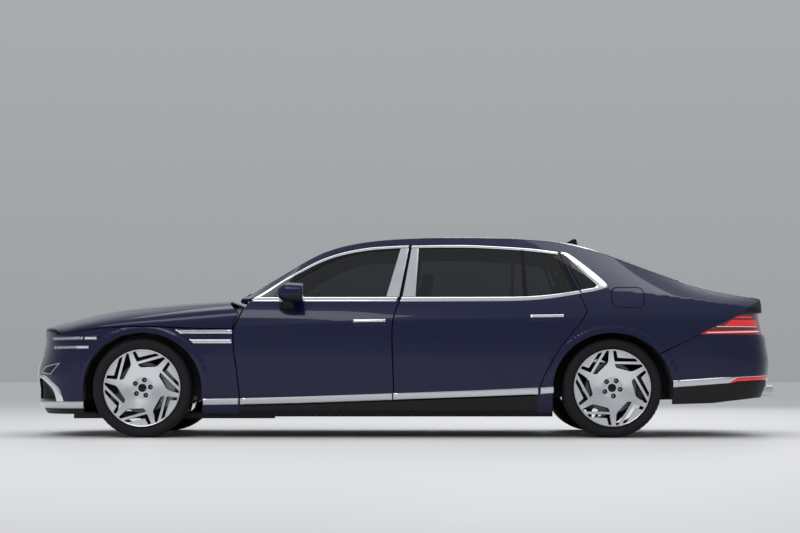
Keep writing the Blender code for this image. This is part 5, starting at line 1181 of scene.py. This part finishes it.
# Frame that follows a closed outline, from its line inwards by the width
def ringBand(surface, outline, width, proud, sink=0.004, across=9, power=4):
    outline = dense(outline, 0.012)
    if loopArea(outline) < 0:
        outline = outline[::-1]
    inner = outline - outward(outline) * width
    t = np.linspace(0, 1, across)
    uv = inner[None] * (1 - t)[:, None, None] + outline[None] * t[:, None, None]
    point, normal = surface(uv[..., 0], uv[..., 1]), surfaceNormal(surface, uv[..., 0], uv[..., 1])
    normal = normal * np.sign((normal * (point - [0, 0, 0.5])).sum(-1, keepdims=True))
    lift = proud * (1 - np.abs(2 * t - 1) ** power)[:, None, None]
    return (*gridSlab(point + normal * lift, point - normal * sink, True), None, None)


# One piece across the whole car, on the body shell
def single(name, made, stuff, nodes=(), angle=35, body="body_shell", mend=True):
    points, faces, index, normals = made
    stuff = stuff if isinstance(stuff, list) else [stuff]
    piece = makeMesh(name, points, [tuple(int(i) for i in f) for f in faces], stuff, index, normals)
    if mend:
        mendNormals(piece)
        sharpen(piece, angle)
    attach(piece, body)
    if nodes:
        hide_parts(*nodes)
    return piece


def buildNose():
    size, skin = frontSizes, endSurface()
    archX = size["archX"]
    arch = archCurve(frontAxle, 180, 117.5)
    side = [(reachAtX(archX), size["bladeTop"]), *[(reachAtX(x), z) for x, z in arch]]
    reaches = np.linspace(reachAtX(-2.0612), 0.0, 90)
    half = np.array([(0.0, size["bladeTop"]), *side, *zip(reaches, noseTop(reaches))])
    outline = np.concatenate([half, twin(half[1:-1])])
    grille = np.concatenate([np.array(crest), twin(crest[1:-1])])
    intake = np.array([(0.300, 0.268), (0.470, 0.428), (reachAtX(-2.628), 0.428), (reachAtX(-2.595), 0.385),
                       (reachAtX(-2.545), 0.320), (reachAtX(-2.505), 0.268)])
    bars = [toReach(points) for points in lampBars.values()]
    holes = [grille, intake, twin(intake), *bars, *(twin(bar) for bar in bars)]
    made = trimmedSheet(skin, [outline, *holes], (0.022, 0.012), 0.010)
    single("frontFascia", made, [paint, paint, blackPlastic],
           ("front_bumper", "headlamp_left", "headlamp_right"), mend=False)
    # Black strip along the top edge, below the hood: painted shadow of the shut gap, laid over the fascia's top rim
    at = np.concatenate([-reaches, reaches[::-1][1:]])
    gapShadowLines = [np.stack([at, noseTop(at) + z], -1) for z in (-0.009, 0.013)]
    single("noseGapShadow", ribbon(endSurface(inward=0.014), *gapShadowLines, 0.0, 0.006, 3), blackPlastic)
    # Crest grille: a chrome frame round a lattice, on a dark back
    single("grilleFrame", ringBand(skin, grille, 0.020, 0.0055, 0.012), chrome)
    inner = ringInner(grille, 0.010)
    single("grilleMesh", lattice(endSurface(inward=size["meshDepth"]), inner, size["cell"], 0.20, 0.010),
           [darkChrome, blackPlastic], ("grille",), mend=False)
    for name, shape in (("Left", intake), ("Right", twin(intake))):
        single("intakeMesh" + name,
               lattice(endSurface(inward=0.020), ringInner(shape, 0.004), (0.030, 0.036), 0.22, 0.008),
               [glossBlack, blackPlastic], mend=False)
        single("intakeRim" + name, ringBand(skin, shape, 0.006, 0.002, 0.022, 5), glossBlack)
    # Chrome hook outside each intake, and the slot with a bright outline behind it; the slot's hollow is a flat black
    # fill, painted shade
    hookIn = toReach([(-2.658, 0.428), (-2.625, 0.412), (-2.560, 0.365), (-2.528, 0.315), (-2.512, 0.2575)])
    hookOut = toReach([(-2.664, 0.446), (-2.606, 0.442), (-2.552, 0.405), (-2.485, 0.345), (-2.450, 0.2575)])
    vent = toReach([(-2.655, 0.464), (-2.600, 0.512), (-2.471, 0.537), (-2.552, 0.452)])
    for name, turn in (("Left", lambda p: p), ("Right", twin)):
        low, high = evenly(hookIn, 40, True), evenly(hookOut, 40, True)
        made = ribbon(skin, low, high, 0.007, 0.003, 9, 6) if name == "Left" else ribbon(skin, low * [-1, 1],
                high * [-1, 1], 0.007, 0.003, 9, 6)
        single("bumperHook" + name, made, chrome)
        single("ventRim" + name, ringBand(skin, turn(vent), 0.007, 0.003), satin)
        single("ventHollow" + name, ribbonFill(skin, turn(vent), 0.0008), glossBlack)
    # Blade across the foot, and the black valance below it
    end = reachAtX(archX) - 0.004
    across = np.linspace(-end, end, 240)
    level = lambda z: np.stack([across, z + 0 * across], -1)
    single("bumperBlade", ribbon(skin, level(size["bladeLow"]), level(size["bladeTop"] - 0.001), 0.0060,
                                 0.010, 11, 8), satin)
    single("bumperValance", ribbon(endSurface(inward=0.010), level(0.166), level(size["bladeLow"] - 0.0005),
                                   0.002, 0.020, 7, 8), blackPlastic)
    # Lamp bars: a dark trough, small cells ahead of a long light guide, and a cover that ends flush
    for place, (p, q, r, s) in lampBars.items():
        for sign in (1, -1):
            name = place + ("Left" if sign > 0 else "Right")
            run = lambda x0, x1, z0, z1, count=60: (np.stack([sign
                                                              * np.interp(np.linspace(x0, x1, count),
                                                                      noseX(noseReach), noseReach),
                                                                              np.full(count, z0)], -1),
                                                                                      np.stack([sign * np.interp(np.linspace(x0, x1, count), noseX(noseReach), noseReach), np.full(count, z1)], -1))
            low, high = run(p[0] - 0.001, r[0] + 0.001, p[1] - 0.001, r[1] + 0.001)
            single("lampTrough" + name, ribbon(endSurface(inward=0.016), low, high, 0.0, 0.006, 3),
                   glossBlack)
            cells, middle = [], (p[1] + r[1]) / 2
            for x in np.arange(p[0] + 0.006, q[0] - 0.110, 0.024):
                low, high = run(x, x + 0.018, middle - 0.009, middle + 0.009, 8)
                cells.append(ribbon(endSurface(inward=0.010), low, high, 0.004, 0.005, 7, 4, 4))
            single("lampCells" + name, merged(cells), chrome)
            low, high = run(q[0] - 0.090, q[0] - 0.004, middle - 0.0085, middle + 0.0085)
            single("lampGuide" + name, ribbon(endSurface(inward=0.008), low, high, 0.005, 0.005, 9, 4, 30),
                   whiteLens)
            low, high = run(p[0] + 0.001, q[0] - 0.001, p[1] + 0.001, r[1] - 0.001)
            single("lampCover" + name, ribbon(endSurface(inward=0.003), low, high, 0.0015, 0.0025, 9, 8),
                   lampGlass)


# Flat fill of an outline on a surface, a little proud of it
def ribbonFill(surface, outline, proud):
    lifted = lambda u, v: surface(u, v) + outNormal(surface, u, v) * proud
    points, faces, index, normals = trimmedSheet(lifted, [outline], 0.01, 0.002, 0.0004)
    return points, faces, None, None


def outNormal(surface, u, v):
    point, normal = surface(u, v), surfaceNormal(surface, u, v)
    return normal * np.sign((normal * (point - [0, 0, 0.5])).sum(-1, keepdims=True))


buildNose()

tailSizes = {"top": 0.7365, "lampInner": 0.672, "lidGap": 0.018}


def buildTail():
    size, skin = tailSizes, endSurface(True)
    atX = lambda x: np.interp(-x, -tailX(tailReach), tailReach)
    end = atX(1.9365)
    reaches = np.linspace(0.0, end, 80)
    xs = tailX(reaches)
    stripLow = np.interp(xs, (1.934, 2.30, 2.639, 2.7325), (0.357, 0.384, 0.402, 0.405))
    stripTop = np.interp(xs, (1.934, 2.30, 2.639, 2.7325), (0.407, 0.431, 0.446, 0.449))
    bottom = np.interp(xs, (1.93, 2.233, 2.60, 2.7325), (0.238, 0.246, 0.282, 0.282))
    both = lambda levels: np.concatenate([np.stack([-reaches[:0:-1], levels[:0:-1]], -1),
                                          np.stack([reaches, levels], -1)])
    arch = archCurve(rearAxle, 0, 37.7, -0.002, 20)
    flank = np.array([(atX(x), z) for x, z in [*arch[arch[:, 1] > 0.41], (2.137, size["top"])]])
    foot, upper = np.stack([reaches, stripTop - 0.010], -1), np.linspace(flank[-1, 0], 0.0, 60)[1:]
    half = np.concatenate([foot, flank, np.stack([upper, np.full(59, size["top"])], -1)])
    fascia = np.concatenate([half, (half[1:-1] * [-1, 1])[::-1]])
    single("rearFascia", trimmedSheet(skin, [fascia], (0.024, 0.014), 0.010), [paint, paint, blackPlastic],
           ("rear_bumper",), mend=False)
    valance = np.concatenate([both(bottom), both(stripLow + 0.010)[::-1]])
    tips = [np.array([(sign * 0.470, 0.300), (sign * 0.625, 0.300), (sign * 0.625, 0.368),
                      (sign * 0.470, 0.368)])[::sign] for sign in (1, -1)]
    single("rearValance", trimmedSheet(endSurface(True, 0.005), [valance, *tips], (0.024, 0.014), 0.012),
           [blackPlastic] * 3, mend=False)
    # Bright strip that ends in a reflector on each side
    slant = np.clip((xs - 2.355) / 0.055, 0, 1)
    bright = stripLow + (stripTop - 0.009 - stripLow) * slant
    for name, run, lower, upper, stuff in (("stripMiddle", (-atX(2.655), atX(2.655)), stripLow, stripTop,
                                            satin), ("stripSide", (atX(2.655) + 0.0005, end - 0.003), bright,
                                                     stripTop, satin), ("reflector",
                                                             (atX(2.655) + 0.0005, atX(2.362)),
                                                             stripLow + 0.012 * slant, bright - 0.0015,
                                                             redLens)):
        for sign in (1, -1) if stuff is redLens or name == "stripSide" else (1,):
            at = np.linspace(*run, 110)
            low, high = (np.stack([sign * at, np.interp(np.abs(at), reaches, levels)], -1)
                         for levels in (lower, upper))
            high[:, 1] = np.maximum(high[:, 1], low[:, 1] + 0.0005)
            single(name + ("Left" if sign > 0 else "Right") * (name != "stripMiddle"),
                   ribbon(skin, low, high, 0.0065, 0.014, 11, 8), stuff)
    # Exhaust tips: square tubes with rounded corners, dark inside
    for sign in (-1, 1):
        rings = []
        for grow, depth in ((1.0, 2.600), (1.0, 2.7095), (0.985, 2.7115), (0.93, 2.7115), (0.90, 2.706),
                            (0.90, 2.615)):
            outline = rounded((-0.0775 * grow, 0.0775 * grow, -0.038 + 0.0775 * (1 - grow),
                               0.038 - 0.0775 * (1 - grow)), 0.014, 6)
            rings.append(np.stack([np.full(len(outline), depth), sign * 0.5475 + outline[:, 0],
                                   0.334 + outline[:, 1]], -1))
        grid = np.array(rings)
        rows, columns = grid.shape[:2]
        i, j = np.meshgrid(np.arange(rows - 1), np.arange(columns), indexing="ij")
        k = (j + 1) % columns
        faces = np.stack([i * columns + j, (i + 1) * columns + j, (i + 1) * columns + k, i * columns + k],
                         -1).reshape(-1, 4).tolist()
        faces.append(list(range((rows - 1) * columns, rows * columns)))
        index = np.concatenate([np.repeat([0, 0, 0, 0, 1], columns), [1]])
        single("exhaustTip" + sideNames[sign], (grid.reshape(-1, 3), faces, index, None), [satin, glossBlack])
    # Lamps: a dark lens, its bright blocks and the light line at the foot
    top = [(2.135, 0.7475), (2.450, 0.8845), (2.600, 0.8960), (2.640, 0.8960)]
    inner = reachAtY(size["lampInner"], True)
    lens = np.array([(reachAtX(2.137, True), size["top"] + 0.001),
                     *((reachAtX(x, True), z) for x, z in top[:3]), (inner, 0.8965),
                     (inner, size["top"] + 0.001)])
    blocks = [("lampHigh", (2.403, 0.858, 2.575, 0.858), (2.416, 0.870, 2.575, 0.8715), redLens),
              ("lampBlock", (2.330, 0.8005, 2.612, 0.8005), (2.392, 0.8430, 2.612, 0.8430), redLens),
              ("lampThin", (2.262, 0.7930, 2.612, 0.7930), (2.268, 0.7975, 2.612, 0.7975), whiteLens),
              ("lampFoot", (2.150, 0.7430, 2.618, 0.7520), (2.185, 0.7600, 2.618, 0.7730), redLens),
              ("lampLine", (2.175, 0.7485, 2.618, 0.7575), (2.195, 0.7545, 2.618, 0.7665), whiteLens)]
    for sign in (1, -1):
        name, turn = ("Left", "left") if sign > 0 else ("Right", "right")
        outline = lens if sign > 0 else twin(lens)
        single("tailLens" + name, trimmedSheet(skin, [outline], (0.014, 0.010), 0.012), [darkRed] * 3,
               ("tail_lamp_" + turn,), mend=False)
        for block, low, high, stuff in blocks:
            ends = [np.stack([sign * atX(np.linspace(p[0], p[2], 40)), np.linspace(p[1], p[3], 40)], -1)
                    for p in (low, high)]
            lift = 0.0022 if stuff is whiteLens else 0.0015
            single(block + name, ribbon(skin, *ends, lift, 0.002, 9, 6), stuff)
    # Painted shade: a flat black patch on each side's rear corner, between the lid's edge and the lamp
    edge = [(2.470, 0.912), (2.560, 0.966), (2.6125, 0.996), (2.6125, 0.899), (2.598, 0.899)]
    for name, side in (("Left", 1), ("Right", -1)):
        points, faces, _, _ = ribbonFill(sideSurface(), edge, 0.0006)
        single("tailEdge" + name, (points * [1, side, 1], faces, None, None), glossBlack)
    across = np.linspace(-0.66, 0.66, 100)
    level = lambda z: np.stack([across, z + 0 * across], -1)
    single("lidSill", ribbon(endSurface(True, 0.042), level(0.680), level(0.762), 0.001, 0.004, 5),
           blackPlastic)
    buildLid()


# Boot lid: the deck on the roof surface, then a tail edge and a face that falls to the bumper
def buildLid():
    path = np.array([(2.600, 1.026), (2.645, 1.019), (2.672, 1.012), (2.6795, 1.006), (2.6765, 0.996),
                     (2.652, 0.955), (2.634, 0.905), (2.636, 0.870), (2.646, 0.820), (2.656, 0.775),
                     (2.6625, 0.747)])
    face = curved(path, 6)[1:]
    v = np.linspace(-1, 1, 81)
    rows = []
    for x in np.linspace(0, 1, 40):
        xs = (2.050 - 0.020 * v**2) * (1 - x) + 2.600 * x
        rows.append(topSurface()(xs, v * 0.9915 * 0.6))
    for x, z in face:
        side = min(float(cantHalf(x)) * 0.9915, tailSizes["lampInner"] - tailSizes["lidGap"])
        droop = 0.012 * ease(0.88, 0.96, z)
        rows.append(np.stack([x - 0.060 * np.abs(v) ** 2.5, -side * v, z - droop * np.abs(v) ** 2.4], -1))
    outer = np.array(rows)
    outer[:, :, 1] = np.sign(-v) * np.abs(outer[:, :, 1])
    normal = gridNormals(outer)
    normal *= np.sign((normal * (outer - [2.2, 0, 0.7])).sum(-1, keepdims=True))
    points, faces = gridSlab(outer, outer - normal * 0.012)
    arm = [(-0.011, 0.012), (-0.011, -0.195), (0.025, -0.226), (0.165, -0.226), (0.245, -0.155),
           (0.312, 0.005), (0.360, 0.016), (0.360, 0.036), (0.295, 0.030), (0.224, -0.143), (0.155, -0.204),
           (0.035, -0.204), (0.011, -0.185), (0.011, 0.012)]
    piece = single("lidPanel", (points, faces, None, None), paint, ("boot_lid",), 30,
                   "boot_lid")
    for sign in (-1, 1):
        outline = np.array(arm[:-1]) + [1.830, 1.060]
        count = len(outline)
        rings = np.concatenate([np.stack([outline[:, 0], np.full(count, sign * 0.520 + y), outline[:, 1]],
                                         -1) for y in (-0.007, 0.007)])
        walls = [(i, (i + 1) % count, count + (i + 1) % count, count + i) for i in range(count)]
        single("lidArm" + sideNames[sign],
               (rings, [*walls, tuple(range(count))[::-1], tuple(range(count, 2 * count))], None, None),
               chassisSteel, body="boot_lid")
    # Light line across the lid's foot
    skin = lambda u, v: np.stack([np.interp(v, face[::-1, 1][:len(face)], face[::-1, 0][:len(face)]) - 0.060
                                  * np.abs(u / 0.654) ** 2.5, -u, v], -1)
    across = np.linspace(-0.648, 0.648, 120)
    level = lambda z: np.stack([across, z + 0 * across], -1)
    single("lidLight", ribbon(skin, level(0.7540), level(0.7740), 0.0025, 0.002, 9, 6), redLens,
           body="boot_lid")
    single("lidLine", ribbon(skin, level(0.7590), level(0.7670), 0.0032, 0.002, 7, 6), whiteLens,
           body="boot_lid")


buildTail()

print("mirrors and roof")


def superCircle(count, power):
    turn = np.arange(count) * 2 * math.pi / count
    return np.sign(np.cos(turn)) * np.abs(np.cos(turn)) ** power, np.sign(np.sin(turn)) * np.abs(np.sin(turn)) ** power


# Rings of points as a closed skin, with a flat face on its first and last ring
def loft(rings):
    grid = np.array(rings)
    rows, columns = grid.shape[:2]
    i, j = np.meshgrid(np.arange(rows - 1), np.arange(columns), indexing="ij")
    k = (j + 1) % columns
    faces = np.stack([i * columns + j, (i + 1) * columns + j, (i + 1) * columns + k, i * columns + k],
                     -1).reshape(-1, 4).tolist()
    faces += [tuple(range(columns))[::-1], tuple(range((rows - 1) * columns, rows * columns))]
    return grid.reshape(-1, 3), faces, None, None


def buildMirrors():
    size = {"centre": (-1.000, 1.034), "half": (0.1030, 0.0715), "front": -0.8965, "rear": -0.7035,
            "glass": 0.88}
    c, s = superCircle(64, 0.72)
    steps = np.concatenate([np.linspace(0.0, 1.0, 26) ** 1.6 * 0.97, [0.985, 1.0, 1.0]])
    scale = np.concatenate([np.sqrt(1 - (1 - np.clip(steps[:26] / 0.55, 0.002, 1)) ** 2)
                            * (1 - 0.08 * np.clip(steps[:26] / 0.97 - 0.5, 0, 1)), [0.945, 0.925, 0.89]])
    rings = []
    for t, grow in zip(steps, scale):
        x = size["front"] + (size["rear"] - size["front"]) * t
        rings.append(np.stack([np.full(64, x), size["centre"][0] + size["half"][0] * grow * c,
                               size["centre"][1] + size["half"][1] * grow * s + 0.006 * (1 - t)], -1))
    points, faces, _, _ = loft(rings)
    index = [1 if np.mean([points[i][2] for i in f]) < 1.012 else 0 for f in faces]
    pieces = bothSides("mirrorShell", (points, faces, index, None), [paint, glossBlack], "door_front_*",
                       "mirror_*")
    c2, s2 = superCircle(48, 0.6)
    plate = [np.stack([np.full(48, x), size["centre"][0] + size["half"][0] * grow * c2,
                       size["centre"][1] + size["half"][1] * grow * s2], -1) for x,
                       grow in ((-0.7060, 0.86), (-0.7030, 0.86), (-0.7024, 0.845))]
    pieces += bothSides("mirrorGlass", loft(plate), [chrome], "door_front_*")
    foot = []
    for t in np.linspace(0, 1, 12):
        y, z = -0.902 - 0.085 * t, 0.920 + 0.070 * t**1.6
        foot.append(np.stack([-0.815 + (0.062 - 0.030 * t) * c2, np.full(48, y),
                              z + (0.026 - 0.008 * t) * s2], -1))
    pieces += bothSides("mirrorFoot", loft(foot), [glossBlack], "door_front_*")
    for piece in pieces:
        mendNormals(piece)
        sharpen(piece, 40)
    # Roof fin: an aerofoil that narrows and leans back as it rises
    turn, rise = np.meshgrid(np.arange(48) * 2 * math.pi / 48, np.linspace(0, 1, 16), indexing="xy")
    front, rear = 1.192 + 0.118 * rise**0.8, 1.352 - 0.016 * rise
    x = front + (rear - front) * (0.5 - 0.5 * np.cos(turn))
    y = 0.015 * (1 - 0.8 * rise**1.5) * np.sin(turn) * (0.6 + 0.4 * (0.5 - 0.5 * np.cos(turn)))
    base = centreLevel(x) - 0.004
    z = base + (1.4868 - base) * rise
    single("roofFin", loft(list(np.stack([x, y, z], -1))), glossBlack)
    # Wipers that lie along the foot of the windscreen
    top = topSurface(-0.001)
    for name, s0, s1 in (("Left", 0.50, 0.02), ("Right", -0.10, -0.52)):
        s = np.linspace(s0, s1, 60)
        x = windscreenBase(s) + 0.030 + 0.020 * np.linspace(0, 1, 60)
        low, high = np.stack([x, s], -1), np.stack([x + 0.009, s], -1)
        single("wiper" + name, ribbon(top, low, high, 0.008, 0.0005, 7, 4), blackPlastic)


buildMirrors()

print("cabin")


# Cushion: a superellipsoid, leaning about y, drawn in along its seams
def cushion(centre, half, lean=0.0, power=0.42, seams=(), across=(), rows=38, columns=56):
    lat, lon = np.meshgrid(np.linspace(-math.pi / 2, math.pi / 2, rows),
                           np.arange(columns) * 2 * math.pi / columns, indexing="ij")
    rounder = lambda v: np.sign(v) * np.abs(v) ** power
    p = np.stack([rounder(np.cos(lat)) * rounder(np.cos(lon)), rounder(np.cos(lat)) * rounder(np.sin(lon)),
                  rounder(np.sin(lat))], -1)
    dent = sum(np.exp(-((p[..., 1] - at) / 0.035) ** 2)
               for at in seams) + sum(np.exp(-((p[..., 0 if half[2] < half[0] else 2] - at) / 0.035) ** 2)
                                      for at in across)
    p = p * (np.array(half) - 0.007 * np.asarray(dent)[..., None] * np.ones(3))
    c, s = math.cos(lean), math.sin(lean)
    leaned = np.stack([p[..., 0] * c + p[..., 2] * s, p[..., 1], -p[..., 0] * s + p[..., 2] * c], -1) + centre
    return loft(list(leaned[1:-1]))


def seat(name, y, base, back, head, nodes=()):
    parts = [cushion((base[0], y, base[1]), base[2], math.radians(-5), 0.38, (-0.62, 0.62),
                     (-0.35, 0.15, 0.6)), cushion((back[0], y, back[1]), back[2], math.radians(17), 0.40,
                                                  (-0.62, 0.62), (-0.3, 0.1, 0.5)),
                                                  cushion((head[0], y, head[1]), head[2], math.radians(12),
                                                          0.6)]
    for sign in (-1, 1):
        parts.append(cushion((base[0], y + sign * (base[2][1] - 0.035), base[1] + 0.025),
                             (base[2][0] * 0.92, 0.038, base[2][2]), math.radians(-5), 0.55, rows=28,
                             columns=42))
        parts.append(cushion((back[0] - 0.03, y + sign * (back[2][1] - 0.035), back[1] - 0.04),
                             (back[2][0] * 0.9, 0.036, back[2][2] * 0.78), math.radians(17), 0.55, rows=28,
                             columns=42))
    piece = single(name, merged(parts), tanLeather, nodes, 60)
    return piece


def block(x0, x1, y0, y1, z0, z1, radius=0.012):
    outline = rounded((y0, y1, z0, z1), radius, 5)
    depth = ((x0, 0.94), (x0 + radius * 0.5, 0.99), (x0 + radius, 1.0), (x1 - radius, 1.0),
             (x1 - radius * 0.5, 0.99), (x1, 0.94))
    middle = outline.mean(0)
    return loft([np.stack([np.full(len(outline), x), *((middle + (outline - middle) * grow).T)], -1) for x,
                 grow in depth])


def buildCabin():
    # Flat tray below the nose, between the wheels
    single("noseTray", block(-2.600, -2.250, -0.55, 0.55, 0.166, 0.180, 0.006), blackPlastic)
    for name, y, node in (("seatFrontLeft", -0.37, "seat_front_left"),
                          ("seatFrontRight", 0.37, "seat_front_right")):
        seat(name, y, (-0.265, 0.470, (0.270, 0.235, 0.085)), (0.085, 0.790, (0.075, 0.235, 0.300)),
             (0.185, 1.125, (0.045, 0.125, 0.075)), nodes=(node,))
        single(name + "Base", merged([block(-0.45, 0.05, y - 0.20, y + 0.20, 0.215, 0.385, 0.03),
                                      block(0.150, 0.165, y - 0.06, y - 0.048, 0.98, 1.10, 0.004),
                                      block(0.150, 0.165, y + 0.048, y + 0.06, 0.98, 1.10, 0.004)]),
                                      blackPlastic)
    for name, y in (("seatRearLeft", -0.30), ("seatRearRight", 0.30)):
        seat(name, y, (0.905, 0.465, (0.262, 0.235, 0.090)), (1.135, 0.790, (0.065, 0.235, 0.315)),
             (1.232, 1.165, (0.040, 0.125, 0.075)), nodes=("seat_rear",) if y < 0 else ())
    rest = single("rearArmrest",
                  merged([cushion((0.90, 0.0, 0.53), (0.24, 0.052, 0.075), 0.0, 0.35, rows=28, columns=42),
                          cushion((1.135, 0.0, 0.80), (0.060, 0.052, 0.28), math.radians(17), 0.4, rows=28,
                                  columns=42)]), darkLeather)
    single("rearSeatBase", block(0.665, 1.20, -0.53, 0.53, 0.345, 0.400, 0.02), blackPlastic)
    # Steering wheel: rim as a torus in the plane of the column, hub pad and spokes
    size = {"radius": 0.170, "grip": 0.0135, "centre": np.array([-0.560, -0.370, 0.905])}
    axis = np.array([math.cos(math.radians(24)), 0, math.sin(math.radians(24))])
    up, side = np.array([-axis[2], 0, axis[0]]), np.array([0.0, 1.0, 0.0])
    around, small = np.meshgrid(np.arange(120) * 2 * math.pi / 120, np.arange(20) * 2 * math.pi / 20,
                                indexing="ij")
    radial = np.cos(around)[..., None] * side + np.sin(around)[..., None] * up
    grip = size["grip"] * (1 + 0.10 * np.cos(2 * around)[..., None])
    grid = size["centre"] + radial * size["radius"] + grip * (np.cos(small)[..., None] * radial
                                                              + np.sin(small)[..., None] * axis)
    i, j = np.meshgrid(np.arange(120), np.arange(20), indexing="ij")
    m, k = (i + 1) % 120, (j + 1) % 20
    rim = (grid.reshape(-1, 3), np.stack([i * 20 + j, m * 20 + j, m * 20 + k, i * 20 + k], -1).reshape(-1, 4),
           None, None)

    def bar(a, b, wide, thick):
        direction = unit(b - a)
        across = np.cross(direction, axis)
        c, s = superCircle(24, 0.6)
        return loft([point + wide * c[:, None] * across + thick * s[:, None] * axis
                     for point in (a, (a + b) / 2, b)])
    middle = size["centre"]
    spokes = [bar(middle + side * sign * 0.03, middle + side * sign * 0.166 - up * 0.012, 0.017, 0.009)
              for sign in (-1, 1)]
    spokes += [bar(middle - up * 0.03 + side * sign * 0.02, middle - up * 0.164 + side * sign * 0.025, 0.011,
                   0.008) for sign in (-1, 1)]
    c, s = superCircle(40, 0.7)
    pad = loft([middle + 0.062 * grow * c[:, None] * side + 0.050 * grow * s[:, None] * up + axis * high
                for grow, high in ((0.75, -0.030), (1.0, -0.015), (1.0, 0.012), (0.93, 0.022), (0.6, 0.028))])
    column = loft([middle - axis * high + 0.030 * (c[:, None] * side + s[:, None] * up)
                   for high in (0.024, 0.038)])
    single("steeringRim", merged([rim, pad, column]), darkLeather, ("steering_wheel",),
           body="steering_wheel")
    single("steeringSpokes", merged(spokes), satin, body="steering_wheel")


# Dashboard: its section swept across the car, a wood band, the screens and the steering column
def buildDash():
    section = filleted([(-1.228, 0.902), (-1.150, 0.700), (-1.02, 0.62), (-0.86, 0.70), (-0.80, 0.86),
                        (-0.84, 0.94), (-0.93, 0.965), (-1.08, 0.945)], 0.035, 8)
    middle = section.mean(0)
    rings = []
    for share in np.linspace(-1, 1, 41):
        grow = 1 - 0.05 * max(0, abs(share) - 0.9) / 0.1
        rings.append(np.stack([middle[0] + (section[:, 0] - middle[0]) * grow,
                               np.full(len(section), 0.653 * share),
                               middle[1] + (section[:, 1] - middle[1]) * grow], -1))
    single("dashPanel", loft(rings), darkLeather, ("dashboard",), 30)
    axis = np.array([math.cos(math.radians(24)), 0, math.sin(math.radians(24))])
    side, up = np.array([0.0, 1.0, 0.0]), np.array([-axis[2], 0, axis[0]])
    c, s = superCircle(36, 0.8)
    column = loft([np.array([-0.560, -0.370, 0.905]) - axis * back + radius
                   * (c[:, None] * side + s[:, None] * up) for back,
                   radius in ((0.300, 0.040), (0.10, 0.040), (0.055, 0.035), (0.0405, 0.032))])
    single("steeringColumn", column, blackPlastic)
    # Plane of the dashboard's face, whose second parameter climbs from its lower edge
    face = lambda u, v: np.stack(np.broadcast_arrays(-0.86 + 0.06 * v + 0.001, u, 0.70 + 0.16 * v), -1)
    upper = lambda u, v: np.stack(np.broadcast_arrays(-0.80 - 0.04 * v + 0.002, u, 0.86 + 0.08 * v), -1)
    band = lambda v, ends=(-0.62, 0.62): np.stack([np.linspace(*ends, 40), np.full(40, v)], -1)
    single("dashWood", ribbon(face, band(0.42), band(0.88), 0.004, 0.002, 9, 8, 60), wood)
    single("dashStrip", ribbon(face, band(0.36), band(0.41), 0.005, 0.002, 7, 4), satin)
    single("dashScreen", ribbon(upper, band(0.05, (-0.60, 0.16)), band(1.02, (-0.60, 0.16)), 0.010, 0.002, 9,
                                14, 80), glossBlack)
    single("airVents", merged([ribbon(face, band(v, ends), band(v + 0.05, ends), 0.006, 0.001, 5, 4)
                               for v in (0.06, 0.15, 0.24) for ends in ((-0.60, -0.44), (-0.14, 0.14),
                                       (0.44, 0.60))]), satin)


buildCabin()
buildDash()

# Finish of every CAD node that stays in view
dressed = {"floor_pan": carpet, "engine": castMetal, "front_subframe": chassisSteel,
           "rear_axle": chassisSteel, "knuckle_left": castMetal, "knuckle_right": castMetal,
           "sill_left": blackPlastic, "sill_right": blackPlastic, "dashboard": darkLeather,
           "steering_wheel": darkLeather, "mirror_left": paint, "mirror_right": paint, "boot_lid": paint,
           "front_bumper": paint, "rear_bumper": paint, "headlamp_left": paint, "headlamp_right": paint,
           "grille": darkChrome, "tail_lamp_left": darkRed, "tail_lamp_right": darkRed,
           "seat_front_left": tanLeather, "seat_front_right": tanLeather, "seat_rear": tanLeather}
for nodeName, stuff in dressed.items():
    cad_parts[nodeName].data.materials[0] = stuff

print("floor, light and camera")


def buildStage():
    ground = Finish("paleFloor", (0.78, 0.78, 0.77), 0.6)
    ground.feed("Roughness", ground.noise(1.5, 4.0) * 0.1 + 0.55)
    points = [(-60, -60, 0), (60, -60, 0), (60, 60, 0), (-60, 60, 0)]
    floor = makeMesh("floor", points, [(0, 1, 2, 3)], [ground.material])
    world = bpy.data.worlds.new("studio")
    bpy.context.scene.world = world
    world.use_nodes = True
    tree = world.node_tree
    background = tree.nodes["Background"]
    coords, split = tree.nodes.new("ShaderNodeTexCoord"), tree.nodes.new("ShaderNodeSeparateXYZ")
    ramp = tree.nodes.new("ShaderNodeValToRGB")
    ramp.color_ramp.elements[0].position, ramp.color_ramp.elements[0].color = 0.0, (0.40, 0.41, 0.43, 1)
    ramp.color_ramp.elements[1].position, ramp.color_ramp.elements[1].color = 0.60, (0.62, 0.64, 0.68, 1)
    tree.links.new(coords.outputs["Generated"], split.inputs[0])
    tree.links.new(split.outputs[2], ramp.inputs[0])
    tree.links.new(ramp.outputs[0], background.inputs["Color"])
    background.inputs["Strength"].default_value = 0.85
    for name, place, aim, size, power in (("key", (-3.5, -8.0, 6.5), (0, 0, 0.5), (7, 3), 230),
                                          ("over", (0.5, 1.0, 7.5), (0, 0, 0.5), (9, 4), 260),
                                          ("back", (3.0, 9.0, 5.0), (0, 0, 0.6), (6, 3), 140)):
        light = bpy.data.lights.new(name, "AREA")
        light.shape, light.size, light.size_y, light.energy = "RECTANGLE", size[0], size[1], power
        lamp = bpy.data.objects.new(name, light)
        lamp.location = place
        lamp.rotation_euler = (Vector(aim) - Vector(place)).to_track_quat("-Z", "Y").to_euler()
        bpy.context.scene.collection.objects.link(lamp)
    view = bpy.data.cameras.new("camera")
    view.sensor_width, view.lens, view.clip_end = 36.0, 84.735, 200.0
    camera = bpy.data.objects.new("camera", view)
    camera.location = (0.0446, -14.43, 0.484)
    camera.rotation_euler = (math.radians(90 + 3.146), 0.0, math.radians(0.243))
    bpy.context.scene.collection.objects.link(camera)
    bpy.context.scene.camera = camera
    bpy.context.scene.view_settings.view_transform = "Standard"


buildStage()
